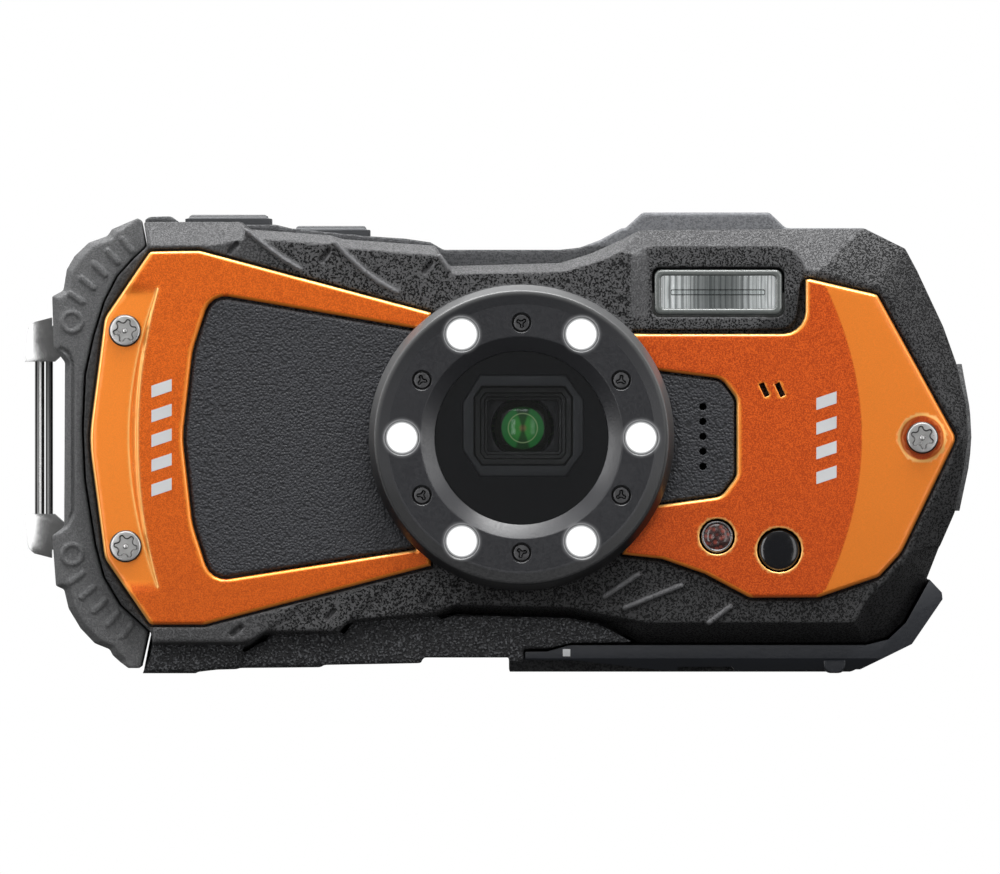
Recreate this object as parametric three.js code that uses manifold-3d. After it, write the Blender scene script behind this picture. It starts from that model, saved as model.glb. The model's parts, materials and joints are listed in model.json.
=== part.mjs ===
// A rugged waterproof compact camera, in millimetres.
// X runs along the body, +Y to the back, +Z up. The lens looks along -Y.
// The origin is under the middle of the body, on the surface it stands on.

import * as THREE from 'three';
import { mergeVertices } from 'three/addons/utils/BufferGeometryUtils.js';
import Module from 'manifold-3d';

const wasm = await Module();
wasm.setup();

// ---------------------------------------------------------------- driving dimensions

const HALF_LENGTH = 63.4;
const HALF_DEPTH = 14.75;
const TOP = 61.7;
const GAP = 0.3;

// depths, front to back
const RING_FRONT = -HALF_DEPTH;
const RING_FLAT = RING_FRONT + 0.45;
const PLATE_FRONT = -11.3;
const PLATE_BACK = -10.0;
const FACE = -10.4;
const POCKET = PLATE_BACK + GAP;
const FRONT_WALL_BACK = -8.2;
const SHOULDER = -4.6;
const PARTING = -2.0;
const BACK_WALL_FRONT = 11.2;
const BACK = 13.0;

// lens ring
const RING_X = 3.07;
const RING_Z = 31.5;
const RING_RADIUS = 20.4;
const CREST_RADIUS = 19.5;
const DISH_RADIUS = 18.4;
const HUB_RADIUS = 19.0;
const CONE_RADIUS = 13.5;
const WINDOW_RADIUS = 11.6;
const LIGHT_CIRCLE = 15.95;
const LIGHT_RADIUS = 2.15;
const RING_SCREW_CIRCLE = 15.35;
const RING_SCREW_HEAD = 1.1;

// lens
const LENS_X = 3.25;
const LENS_Z = 32.8;

// screws that hold the front plates
const PLATE_SCREWS = [[-49.9, 45.8], [-49.8, 17.0], [56.6, 31.5]];
const PLATE_SCREW_HEAD = 2.15;
const PLATE_SCREW_FRONT = -11.85;
const PLATE_SCREW_HOLE = 1.35;
const RING_SCREW_HOLE = 0.95;

// small fittings in the right-hand plate
const LAMP = [29.2, 18.3, 2.1];
const RECEIVER = [37.5, 16.5, 2.7];
const MICROPHONES = [[35.5, 37.9], [37.6, 37.9]];
const SPEAKER_X = 27.3;
const SPEAKER_Z = 31.65;
const SPEAKER_PITCH = 2.0;

// flash
const FLASH = { left: 20.8, right: 37.9, low: 47.9, high: 54.0 };

// battery, card and door
const BATTERY = { left: 12.8, right: 47.2, front: -0.6, back: 6.2, low: 5.2, high: 45.2 };
const CARD = { left: 15.0, right: 39.0, front: 6.9, back: 9.0, low: 5.6, high: 37.6 };
const DOORWAY = { left: 11.4, right: 51.3, front: -1.8, back: 9.6, low: 3.0, high: 10.0 };
const LATCH_Y = 2.8;
const LIP_FRONT = -8.0;
const DOOR_TOP = 3.75;
const DOOR_FRONT = -7.4;
const DOOR_BACK = 10.0;
const HINGE = [2.3, 2.35];
const HINGE_RADIUS = 0.8;
const HINGE_HALF = 6.6;
const PIN_RADIUS = 0.4;
const PIN_BORE = PIN_RADIUS + 0.15;
const LEVER_X = 44.95;

// tripod socket
const SOCKET_X = -4.5;
const SOCKET_Y = 3.2;

// screen
const SCREEN = { left: -13, right: 52, low: 8.5, high: 53.5 };

// top buttons: [name, left, right, low, high]
const TOP_BUTTONS = [
  ['shutter_button', -42.0, -30.4, 59.6, 61.4],
  ['power_button', -27.7, -17.2, 57.6, 59.9],
];
const TOP_BUTTON_FRONT = -0.9;
const TOP_BUTTON_BACK = 8.1;
const TOP_BUTTON_STEM = 1.3;
const TOP_WELLS = [58.1, 56.7];

// back controls: [name, x, z, half width, half height]
const PAD_X = -32.5;
const PAD_Z = 28.0;
const BACK_BUTTONS = [
  ['zoom_tele_button', -26.6, 49.0, 3.6, 2.2],
  ['zoom_wide_button', -36.4, 49.0, 3.6, 2.2],
  ['movie_button', -21.4, 41.0, 2.1, 2.1],
  ['playback_button', -42.2, 41.0, 2.1, 2.1],
  ['menu_button', -24.6, 13.0, 3.4, 2.0],
  ['shortcut_button', -38.8, 13.0, 3.4, 2.0],
];

// ---------------------------------------------------------------- looks

function look(color, roughness, metalness = 0, opacity = 1) {
  return new THREE.MeshStandardMaterial({
    color, roughness, metalness, opacity, transparent: opacity < 1,
  });
}

const LOOKS = {
  shell: look(0x2c2e31, 0.75),
  guard: look(0x2a2c2f, 0.8),
  orange: look(0xd2560f, 0.38, 0.35),
  inlay: look(0x26282b, 0.7),
  ring: look(0x35383d, 0.45),
  door: look(0x23262b, 0.5),
  steel: look(0xc8c8c6, 0.25, 1),
  darkSteel: look(0x3c3d40, 0.4, 0.8),
  glass: look(0x15181c, 0.05, 0, 0.35),
  clear: look(0xdfe6e6, 0.1, 0, 0.4),
  lens: look(0x2f7a3a, 0.05, 0, 0.6),
  lamp: look(0xffffff, 0.2),
  board: look(0x1d4b2c, 0.6),
  black: look(0x16171a, 0.6),
  rubber: look(0x1c1d1f, 0.9),
  label: look(0x3a3c44, 0.5),
  red: look(0xa3201a, 0.5),
};

// ---------------------------------------------------------------- solids

function solid(geometry) {
  const bare = new THREE.BufferGeometry();
  bare.setAttribute('position', geometry.attributes.position);
  if (geometry.index) bare.setIndex(geometry.index);
  const merged = mergeVertices(bare, 1e-4);
  return new wasm.Manifold(new wasm.Mesh({
    numProp: 3,
    vertProperties: Float32Array.from(merged.attributes.position.array),
    triVerts: Uint32Array.from(merged.index.array),
  }));
}

function surface(shape) {
  const mesh = shape.getMesh();
  const geometry = new THREE.BufferGeometry();
  geometry.setAttribute('position', new THREE.BufferAttribute(mesh.vertProperties, 3));
  geometry.setIndex(new THREE.BufferAttribute(mesh.triVerts, 1));
  geometry.computeVertexNormals();
  return geometry;
}

const cut = (shape, ...tools) => tools.reduce((left, tool) => left.subtract(tool), shape);
const join = (...shapes) => shapes.reduce((left, shape) => left.add(shape));

function block(x0, x1, y0, y1, z0, z1) {
  const box = new THREE.BoxGeometry(x1 - x0, y1 - y0, z1 - z0);
  return solid(box.translate((x0 + x1) / 2, (y0 + y1) / 2, (z0 + z1) / 2));
}

// a round bar along Y
function bar(x, z, radius, y0, y1, sides = 16) {
  const round = new THREE.CylinderGeometry(radius, radius, y1 - y0, sides);
  return solid(round.translate(x, (y0 + y1) / 2, z));
}

// a round bar along Z
function post(x, y, radius, z0, z1, sides = 16) {
  const round = new THREE.CylinderGeometry(radius, radius, z1 - z0, sides);
  return solid(round.rotateX(Math.PI / 2).translate(x, y, (z0 + z1) / 2));
}

function area(points) {
  return points.reduce((sum, [x, z], i) => {
    const [nextX, nextZ] = points[(i + 1) % points.length];
    return sum + (x * nextZ - nextX * z) / 2;
  }, 0);
}

// a solid turned about Y, its profile given as [radius, y]
function turned(profile, sides = 48) {
  const ordered = area(profile) < 0 ? [...profile].reverse() : profile;
  const closed = [...ordered, ordered[0]].map(([r, y]) => new THREE.Vector2(r, y));
  return solid(new THREE.LatheGeometry(closed, sides));
}

// joins outlines of [x, z] at given depths; sections run from back to front
// a point [x, z, y] has a depth of its own
function loft(...sections) {
  const flip = area(sections[0][1]) < 0;
  const outlines = sections.map(([, points]) => (flip ? [...points].reverse() : points));
  const count = outlines[0].length;
  const positions = outlines.flatMap((points, level) => (
    points.flatMap(([x, z, y = sections[level][0]]) => [x, y, z])
  ));
  const faces = [];
  for (let level = 0; level + 1 < outlines.length; level += 1) {
    for (let i = 0; i < count; i += 1) {
      const j = (i + 1) % count;
      const [a, b] = [level * count + i, level * count + j];
      faces.push(a, b, b + count, a, b + count, a + count);
    }
  }
  const cap = (points) => THREE.ShapeUtils.triangulateShape(
    points.map(([x, z]) => new THREE.Vector2(x, z)), [],
  );
  const front = (outlines.length - 1) * count;
  cap(outlines[0]).forEach(([a, b, c]) => faces.push(a, c, b));
  cap(outlines.at(-1)).forEach(([a, b, c]) => faces.push(front + a, front + b, front + c));
  const geometry = new THREE.BufferGeometry();
  geometry.setAttribute('position', new THREE.Float32BufferAttribute(positions, 3));
  geometry.setIndex(faces);
  return solid(geometry);
}

const slab = (points, back, front) => loft([back, points], [front, points]);

// rounds every corner given as [x, z, radius]
function rounded(corners, steps = 4) {
  return corners.flatMap(([x, z, radius], i) => {
    if (!radius) return [[x, z]];
    const corner = new THREE.Vector2(x, z);
    const before = new THREE.Vector2(...corners.at(i - 1)).sub(corner).normalize();
    const after = new THREE.Vector2(...corners[(i + 1) % corners.length]).sub(corner).normalize();
    const half = Math.acos(before.dot(after)) / 2;
    const middle = before.clone().add(after).normalize();
    const centre = corner.clone().addScaledVector(middle, radius / Math.sin(half));
    const reach = radius / Math.tan(half);
    const start = corner.clone().addScaledVector(before, reach).sub(centre);
    const end = corner.clone().addScaledVector(after, reach).sub(centre);
    const sweep = Math.atan2(start.cross(end), start.dot(end));
    return Array.from({ length: steps + 1 }, (_, k) => {
      const point = start.clone().rotateAround(new THREE.Vector2(), (sweep * k) / steps);
      return [centre.x + point.x, centre.y + point.y];
    });
  });
}

function rectangle(left, right, low, high, radius = 0) {
  const corners = [[left, low], [right, low], [right, high], [left, high]];
  return rounded(corners.map(([x, z]) => [x, z, radius]));
}

function circle(x, z, radius, sides) {
  return Array.from({ length: sides }, (_, k) => {
    const angle = (2 * Math.PI * k) / sides;
    return [x + radius * Math.cos(angle), z + radius * Math.sin(angle)];
  });
}

// moves an outline outwards, or inwards for a negative distance
function grow(points, distance) {
  const turn = Math.sign(area(points));
  const edge = (from, to) => {
    const length = Math.hypot(to[0] - from[0], to[1] - from[1]);
    return [(turn * (to[1] - from[1])) / length, (turn * (from[0] - to[0])) / length];
  };
  return points.map((point, i) => {
    const [ax, az] = edge(points.at(i - 1), point);
    const [bx, bz] = edge(point, points[(i + 1) % points.length]);
    const scale = distance / (1 + ax * bx + az * bz);
    return [point[0] + (ax + bx) * scale, point[1] + (az + bz) * scale];
  });
}

const camera = new THREE.Group();

function piece(name, shape, material, [x, y, z] = [0, 0, 0], parent = camera) {
  const mesh = new THREE.Mesh(surface(shape), material);
  mesh.name = name;
  mesh.position.set(x, y, z);
  parent.add(mesh);
  return mesh;
}

function group(x, y, z) {
  const place = new THREE.Group();
  place.position.set(x, y, z);
  camera.add(place);
  return place;
}

// ---------------------------------------------------------------- outlines

// the end guard's seam with the two shells, from the top down
const SEAM = [
  [-47.9, 60.6], [-47.2, 57.1], [-49.0, 55.4], [-51.1, 53.1], [-52.85, 49.7], [-54.3, 45.0],
  [-55.4, 39.9], [-55.7, 32.6], [-55.4, 25.9], [-54.0, 17.1], [-52.85, 12.85], [-50.6, 9.1],
  [-48.4, 7.1], [-46.8, 5.6],
];
const SEAM_INSIDE = SEAM.map(([x, z]) => [x + GAP, z]);

// the front shell: [x, z] at its shoulder, then [x, z] on its front face
const FRONT_SHELL_EDGE = [
  [-34.4, 60.4, -38.4, 57.3], [-33.2, 59.4, -32.9, 58.2], [-22.4, 58.6, -22.2, 57.4],
  [-20.9, 58.1, -20.6, 56.9], [-8.5, 57.2, -8.3, 55.9], [-6.5, 54.5, -6.2, 53.4],
  [8.2, 54.9, 8.4, 53.7], [12.2, 56.1, 12.8, 54.9], [15.6, 57.6, 16.3, 56.4],
  [19.0, 59.3, 26.0, 54.5], [49.0, 59.5, 42.5, 53.8], [54.4, 56.8, 50.7, 51.7],
  [56.0, 53.8, 52.0, 50.4], [59.5, 46.3, 55.5, 44.0], [61.2, 41.5, 58.5, 38.4],
  [62.5, 35.9, 61.4, 33.2], [62.8, 31.6, 61.9, 31.4], [62.2, 27.2, 61.2, 29.3],
  [61.0, 21.5, 57.8, 22.5], [59.0, 16.9, 54.8, 15.9], [57.4, 12.8, 53.8, 14.4],
  [54.2, 6.9, 51.2, 12.0], [52.0, 4.8, 49.8, 10.6], [49.1, 4.05, 47.5, 6.8],
  [18.9, 4.05, 19.6, 6.8], [13.6, 6.9, 14.0, 7.9], [9.6, 7.7, 9.8, 8.8],
  [-6.2, 8.1, -6.0, 9.2], [-8.9, 7.05, -8.6, 8.1], [-20.5, 6.0, -20.2, 7.1],
  [-21.8, 4.5, -21.4, 5.6], [-31.6, 4.5, -31.4, 5.6], [-33.7, 3.05, -33.4, 4.2],
  [-46.4, 3.0, -46.2, 4.2],
];

// the hollow of the shells: [x, z] at the parting line, then [x, z] behind the front wall
const HOLLOW_EDGE = [
  [-44.6, 57.9, -44.6, 54.6], [-35.5, 57.9, -37.5, 54.6], [-31.0, 56.9, -31.0, 54.8],
  [-9.5, 54.9, -9.5, 53.2], [-7.5, 52.2, -7.5, 50.8], [9.0, 52.4, 9.0, 51.0],
  [14.0, 54.0, 14.0, 52.6], [20.0, 56.8, 22.0, 53.0], [48.3, 56.9, 44.0, 51.5],
  [52.3, 54.6, 49.5, 49.5], [56.9, 45.2, 53.5, 43.5], [59.6, 37.0, 56.8, 36.5],
  [60.2, 31.5, 58.6, 31.5], [59.5, 27.0, 57.0, 27.0], [56.6, 17.8, 53.5, 18.2],
  [51.9, 8.6, 49.8, 12.2], [49.0, 6.4, 47.4, 8.9], [18.5, 6.4, 19.2, 8.9],
  [13.0, 9.4, 13.0, 10.5], [-7.0, 10.5, -7.0, 11.6], [-22.0, 7.3, -22.0, 8.6],
  [-44.8, 7.3, -44.8, 8.4], [-47.5, 10.8, -47.0, 11.2], [-50.2, 14.5, -49.8, 14.8],
  [-52.7, 26.0, -52.2, 26.0], [-53.0, 32.6, -52.5, 32.6], [-52.7, 39.8, -52.2, 39.8],
  [-50.4, 48.6, -50.0, 48.3], [-48.0, 52.6, -47.6, 52.0],
];

// the flatter cheek on the right of the front shell: [x, z, y] at its outer edge, then
// [x, z] on the face
const CHEEK_EDGE = [
  [49.0, 59.4, -6.4, 42.5, 53.8], [54.4, 56.8, -7.4, 50.7, 51.7], [56.0, 53.8, -7.8, 52.0, 50.4],
  [59.5, 46.3, -8.3, 55.5, 44.0], [61.2, 41.5, -8.5, 58.5, 38.4], [62.5, 35.9, -8.7, 61.4, 33.2],
  [62.8, 31.6, -8.8, 61.9, 31.4], [62.2, 27.2, -8.7, 61.2, 29.3], [61.0, 21.5, -8.4, 57.8, 22.5],
  [59.0, 16.9, -7.8, 54.8, 15.9],
];
const CHEEK_INSIDE = [[50.5, 18.0], [52.0, 26.0], [52.5, 36.0], [48.0, 46.0]];

const HUMP = [[17.0, 59.6], [19.3, TOP], [36.3, TOP], [38.5, 59.6]];
const REAR_TOP = [
  [-47.4, 60.7], [-46.8, 61.1], [-43.9, 61.2], [-42.4, 60.1], [-30.0, 60.1], [-27.9, 59.6],
  [-17.0, 58.5], [-12.5, 58.2], [-9.1, 57.7], [-7.4, 56.7], [8.2, 56.7], [10.9, 57.0],
  [13.6, 58.0], [16.5, 59.6], ...HUMP, [49.0, 59.6], [54.4, 56.9], [56.0, 53.9],
];
const RIGHT_SIDE = [
  [59.5, 46.3], [61.2, 41.5], [62.5, 35.9], [62.8, 31.6], [62.2, 27.2], [61.0, 21.5],
  [59.0, 16.9], [57.4, 12.8], [54.2, 7.2], [52.0, 4.8],
];
const BOTTOM = [
  [1.1, 2.1], [-10.1, 2.1], [-10.35, 1.35], [-23.6, 1.1], [-23.7, 0.8], [-34.7, 0.7],
  [-34.9, 0.55], [-40.3, 0.4], [-40.4, 0.0], [-47.6, 0.0],
];
const REAR_SHELL = [
  ...REAR_TOP, ...RIGHT_SIDE, [49.1, 4.05], [9.6, 4.05], [6.6, 3.3], [1.1, 3.3],
  ...BOTTOM, ...SEAM_INSIDE.slice(1).reverse(),
];

// the rear shell's lip in front of the parting line, under the front shell
const LOWER_LIP = [
  [-46.5, 2.7], [-33.9, 2.75], [-31.8, 4.2], [-21.7, 4.2], [-20.3, 5.7], [-8.8, 6.75],
  [-6.1, 7.8], [9.6, 7.4], [13.4, 6.6], [18.0, 4.15], [9.6, 4.05], [6.6, 3.3], [1.1, 3.3],
  ...BOTTOM,
];

// the rear shell's back edge is chamfered between these two outlines
const CHAMFER_EDGE = [
  [-46.5, 64, -46.0, 57.8], [-20, 64, -20.0, 55.8], [-8, 64, -8.0, 54.2], [9, 64, 9.0, 54.2],
  [19, 64, 19.0, 57.4], [50, 64, 47.5, 57.2], [58, 60, 52.3, 54.2], [66, 44, 58.3, 42.0],
  [67, 31.5, 59.6, 31.5], [66, 20, 58.0, 21.5], [59, 3, 52.0, 9.2], [50, -2.5, 46.5, 2.6],
  [-44, -2.5, -44.0, 2.6], [-52, 2, -47.0, 8.0], [-60, 18, -52.2, 20.0],
  [-60.5, 32, -53.0, 32.0], [-60, 46, -51.8, 44.0], [-54, 58, -49.0, 53.0],
];

const LEFT_PLATE = [
  [-46.5, 56.4, 0.8], [-39.9, 56.5, 3], [-9.0, 48.2], [-9.0, 14.4], [-39.3, 6.5, 3],
  [-46.5, 6.5, 0.8], [-52.6, 15.4, 3], [-54.7, 31.3, 20], [-52.6, 47.5, 3],
];
const INLAY = [
  [-38.2, 50.4, 2.5], [-11.3, 45.8], [-11.3, 16.8], [-38.2, 12.6, 2.5],
  [-40.6, 20.0, 12], [-41.9, 31.5, 14], [-40.6, 43.0, 12],
];
const RIGHT_PLATE = [
  [18.1, 45.6], [39.9, 45.7, 2.6], [40.7, 52.9, 0.9], [50.6, 50.6, 0.9], [57.5, 38.1, 6],
  [61.2, 31.4, 1.6], [53.8, 16.1, 6], [50.8, 12.9, 1.5], [42.7, 10.15, 2],
  [33.6, 10.1, 2], [27.6, 13.3, 3], [21.8, 15.3, 4], [16.5, 15.9],
];
const SPEAKER_PANEL = [
  [17.0, 40.7], [29.6, 39.1, 1.8], [31.5, 36.6, 1.6], [31.5, 26.4, 1.6], [29.6, 23.9, 1.8],
  [17.0, 22.2],
];
const MASK_OPENING = [
  [-3.4, 30.4], [-3.4, 35.8], [-1.7, 38.5], [8.3, 38.5], [10.0, 36.0], [10.0, 30.2],
  [8.3, 27.7], [-1.7, 27.7],
];

// ---------------------------------------------------------------- shared shapes

const plateLeftOutline = rounded(LEFT_PLATE);
const plateRightOutline = rounded(RIGHT_PLATE);
const inlayOutline = rounded(INLAY);
const speakerOutline = rounded(SPEAKER_PANEL);
const ringBar = (radius, front, back, sides = 48) => bar(RING_X, RING_Z, radius, front, back, sides);
const lightSpots = spots(LIGHT_CIRCLE, 6, 0);
const ringScrewSpots = spots(RING_SCREW_CIRCLE, 6, Math.PI / 6);
const ringScrewHoles = ringScrewSpots.map(([x, z]) => bar(x, z, RING_SCREW_HOLE, -16, -10, 8));
const bezelOutline = rounded([
  [17.5, 45.7, 0.4], [17.5, 57.2, 3], [40.7, 57.2, 3.3], [40.7, 45.7, 2.7],
], 5);
const bezelFront = bezelOutline.map(([x, z]) => [Math.max(x, 19.9), z]);
const flashOutline = (margin) => rectangle(
  FLASH.left - margin, FLASH.right + margin, FLASH.low - margin, FLASH.high + margin, 1,
);
const middle = (edge) => edge.map(([x, z]) => [x, z]);
const far = (edge) => edge.map(([, , x, z]) => [x, z]);

// ---------------------------------------------------------------- housings

function frontShell() {
  const left = SEAM_INSIDE.slice(1).reverse();
  const shoulder = [...middle(FRONT_SHELL_EDGE), ...left, [-47.5, 60.4]];
  const face = [...far(FRONT_SHELL_EDGE), ...left, [-46.9, 57.3]];
  const hollow = loft(
    [PARTING + 1, middle(HOLLOW_EDGE)],
    [SHOULDER, middle(HOLLOW_EDGE)],
    [FRONT_WALL_BACK, far(HOLLOW_EDGE)],
  );
  const sealStep = slab(grow(middle(HOLLOW_EDGE), 1.5), PARTING + 1, PARTING - 1.2);
  const screwPosts = PLATE_SCREWS.map(([x, z]) => bar(x, z, 2.4, FRONT_WALL_BACK - 0.2, -5.4));
  const screwHoles = PLATE_SCREWS.map(([x, z]) => bar(x, z, PLATE_SCREW_HOLE, FACE - 1, -5));
  const ringBosses = ringScrewSpots.map(([x, z]) => (
    bar(RING_X + x, RING_Z + z, RING_SCREW_HOLE, FACE - 2, -8.9, 8)
  ));
  const outer = CHEEK_EDGE.map(([x, z, y]) => [x, z, y]);
  const inner = CHEEK_EDGE.map(([, , , x, z]) => [x, z]);
  const cheek = loft(
    [PARTING, [...middle(CHEEK_EDGE), ...CHEEK_INSIDE]],
    [FACE + 0.5, [...outer, ...CHEEK_INSIDE]],
    [FACE, [...inner, ...CHEEK_INSIDE]],
  );
  const outside = join(loft([PARTING, shoulder], [SHOULDER, shoulder], [FACE, face]), cheek);
  const body = join(
    cut(outside, hollow, sealStep),
    cut(ringBar(RING_RADIUS - 0.2, PLATE_FRONT, FRONT_WALL_BACK), ringBar(HUB_RADIUS + GAP, -12, FACE)),
    loft([FRONT_WALL_BACK, bezelOutline], [FACE, bezelOutline], [PLATE_FRONT, bezelFront]),
    ...screwPosts,
  );
  return cut(
    body,
    slab(grow(plateLeftOutline, GAP), POCKET, -13),
    slab(grow(plateRightOutline, GAP), POCKET, -13),
    slab(grow(MASK_OPENING, 2), 0, -12),
    slab(flashOutline(GAP), 0, -12),
    bar(LAMP[0], LAMP[1], LAMP[2] + GAP, -12, -7),
    bar(RECEIVER[0], RECEIVER[1], RECEIVER[2] + GAP, -12, -7),
    slab(rectangle(SPEAKER_X - 1.5, SPEAKER_X + 1.5, 26, 37.3), -7, -12),
    ...screwHoles,
    ...ringBosses,
  );
}

function rearShell() {
  const { left, right, low, high } = SCREEN;
  const lowerBack = [[1.4, 5], [1.4, 0], [47.5, 0], [55.3, 3.9], [59.0, 9.9], [57.0, 14]];
  const outside = join(
    slab(REAR_SHELL, BACK, PARTING + GAP),
    slab(lowerBack, BACK, DOOR_BACK + GAP),
    slab(LOWER_LIP, PARTING + GAP + 0.5, LIP_FRONT),
  );
  const chamfer = loft([BACK, far(CHAMFER_EDGE)], [9, middle(CHAMFER_EDGE)], [-9, middle(CHAMFER_EDGE)]);
  const hollow = slab(middle(HOLLOW_EDGE), BACK_WALL_FRONT, PARTING - 1);
  const thumbRest = slab(rectangle(-51.6, -46.6, 20, 44, 2), HALF_DEPTH, BACK - 1);
  const ridges = [22.5, 26.7, 30.9, 35.1, 39.3].map((low) => (
    block(-52, -46, BACK + 0.6, BACK + 3, low, low + 2.2)
  ));
  const hinge = block(1.2, 4.2, -HINGE_HALF, HINGE_HALF, 1.0, 3.7);
  const lugs = [-HINGE_HALF - 1.3, HINGE_HALF].map((y) => block(1.5, 3.3, y, y + 1.3, 1.55, 3.6));
  const body = join(outside.intersect(chamfer), cut(thumbRest, ...ridges), ...lugs);
  return cut(
    body,
    hollow,
    hinge,
    bar(HINGE[0], HINGE[1], PIN_BORE, -7.6, 7.6, 12),
    block(DOORWAY.left, DOORWAY.right, DOORWAY.front, DOORWAY.back, DOORWAY.low, DOORWAY.high),
    slab(grow(rectangle(left, right, low, high, 2), GAP), 15, 12.0),
    slab(rectangle(-9.2, 48.2, 11.8, 50.2), 13, 10),
    post(SOCKET_X, SOCKET_Y, 5.3, 1, 8.5, 24),
    ...topButtonWells(),
    ...backButtonWells(),
    slab(grow(BUMPER, GAP), 7.8, -1.4),
  );
}

function topButtonWells() {
  return TOP_BUTTONS.flatMap(([, left, right, low], i) => [
    block(left - GAP, right + GAP, TOP_BUTTON_FRONT - GAP, TOP_BUTTON_BACK + GAP, TOP_WELLS[i], 63),
    post((left + right) / 2, 3.6, TOP_BUTTON_STEM + GAP, low - 4.6, low + 0.4),
  ]);
}

function backButtonWells() {
  const wells = BACK_BUTTONS.map(([, x, z, width, height]) => (
    slab(pill(x, z, width + GAP, height + GAP), 15, 10)
  ));
  return [
    ...wells,
    bar(PAD_X, PAD_Z, 8.6, 11.9, 15, 40),
    bar(PAD_X, PAD_Z, 3.5, 10, 15, 24),
  ];
}

function pill(x, z, halfWidth, halfHeight) {
  return rectangle(x - halfWidth, x + halfWidth, z - halfHeight, z + halfHeight, halfHeight - 0.01);
}

const BUMPER = [
  [61.3, 41.4], [62.1, 41.4], [63.1, 35.9], [63.25, 34.6], [HALF_LENGTH, 31.6], [63.25, 29.4],
  [63.0, 27.4], [61.8, 21.7], [61.0, 21.7], [60.9, 23.0], [61.6, 31.6], [60.9, 40.0],
];

function spots(radius, count, start) {
  return Array.from({ length: count }, (_, k) => {
    const angle = start + (2 * Math.PI * k) / count;
    return [radius * Math.cos(angle), radius * Math.sin(angle)];
  });
}

const GUARD_OUTSIDE = [
  [-49.5, 0.7], [-50.6, 1.5], [-51.6, 2.4], [-52.0, 3.2], [-54.0, 4.0], [-55.9, 6.0],
  [-57.5, 8.65], [-58.1, 11.2], [-59.2, 11.7], [-59.7, 18.4], [-58.1, 19.6], [-58.0, 41.6],
  [-59.5, 43.6], [-59.7, 50.4], [-58.2, 51.2], [-57.75, 54.0], [-56.7, 55.8], [-54.8, 57.6],
  [-52.3, 58.5], [-51.7, 59.4], [-48.2, 60.9],
];

function leftGuard() {
  const towardsMiddle = ([x, z], distance) => {
    const length = Math.hypot(x, z - RING_Z);
    return [x * (1 - distance / length), z + ((RING_Z - z) * distance) / length];
  };
  const full = [...GUARD_OUTSIDE, ...SEAM, [-47.9, 0.7]];
  const last = GUARD_OUTSIDE.length - 1;
  const inset = GUARD_OUTSIDE.map((point, i) => (
    i === 0 || i === last ? point : towardsMiddle(point, 0.9)
  ));
  const edge = [...inset, ...SEAM, [-47.9, 0.7]];
  const body = loft([9.2, edge], [8.2, full], [-7.4, full], [-8.6, edge]);
  const pockets = [44.7, 18.25].map((z) => block(-60.5, -57.0, -3.4, 3.4, z - 2.3, z + 2.3));
  return cut(body, ...pockets);
}

function strapLoop() {
  const shape = [
    [-57.4, 15.0], [-57.4, 11.6], [-58.3, 11.3], [-59.5, 10.2], [-63.4, 10.2], [-63.0, 14.8],
    [-62.2, 15.5], [-59.9, 16.1], [-59.9, 15.0],
  ];
  const ear = (side) => slab(shape.map(([x, z]) => [x, RING_Z + side * z]), 3.0, -3.0);
  return join(
    ear(1),
    ear(-1),
    post(-61.5, -2.0, 0.65, RING_Z - 11, RING_Z + 11, 12),
    post(-60.3, 2.1, 0.5, RING_Z - 11, RING_Z + 11, 12),
  );
}

function addHousings() {
  piece('front_shell', frontShell(), LOOKS.shell);
  piece('rear_shell', rearShell(), LOOKS.shell);
  const rim = middle(HOLLOW_EDGE);
  const seal = cut(slab(grow(rim, 1.2), PARTING - 0.05, PARTING - 0.9), slab(grow(rim, GAP), 0, -5));
  piece('shell_seal', seal, LOOKS.rubber);
  piece('left_guard', leftGuard(), LOOKS.guard);
  piece('right_bumper', slab(BUMPER, 7.5, -1.1), LOOKS.guard);
  piece('strap_loop', strapLoop(), LOOKS.steel);
}

// ---------------------------------------------------------------- front plates

function leftPlate() {
  const bevel = block(-10, 0, -4, 0, -40, 40);
  const slope = bevel.rotate([0, 0, 7]).translate([-48.6, PLATE_FRONT, RING_Z]);
  return cut(
    loft([PLATE_BACK, plateLeftOutline], [PLATE_FRONT + 0.3, plateLeftOutline],
      [PLATE_FRONT, grow(plateLeftOutline, -0.25)]),
    slab(grow(inlayOutline, GAP), -9, -12),
    slope,
    ringBar(HUB_RADIUS + 0.4, -12, -9),
    ...PLATE_SCREWS.slice(0, 2).map(([x, z]) => bar(x, z, PLATE_SCREW_HOLE, -12, -9)),
    ...PLATE_SCREWS.slice(0, 2).map(([x, z]) => bar(x, z, PLATE_SCREW_HEAD + GAP, -12, -10.6, 20)),
  );
}

function rightPlate() {
  const bevel = block(0, 20, -4, 0, -40, 40);
  const slope = bevel.rotate([0, 0, -3.6]).translate([48.0, PLATE_FRONT, RING_Z]);
  const [screwX, screwZ] = PLATE_SCREWS[2];
  const slots = MICROPHONES.map(([x, z]) => (
    block(-0.35, 0.35, -12, -9, -0.95, 0.95).rotate([0, -25, 0]).translate([x, 0, z])
  ));
  return cut(
    loft([PLATE_BACK, plateRightOutline], [PLATE_FRONT + 0.3, plateRightOutline],
      [PLATE_FRONT, grow(plateRightOutline, -0.25)]),
    slab(grow(speakerOutline, GAP), -9, -12),
    slab(grow(bezelOutline, GAP), -9, -12),
    slope,
    ringBar(HUB_RADIUS + 0.4, -12, -9),
    bar(LAMP[0], LAMP[1], LAMP[2] + GAP, -12, -9, 20),
    bar(RECEIVER[0], RECEIVER[1], RECEIVER[2] + GAP, -12, -9, 20),
    bar(screwX, screwZ, PLATE_SCREW_HOLE, -12, -9),
    bar(screwX, screwZ, 2.6, -12, -10.5, 20),
    ...slots,
  );
}

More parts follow.
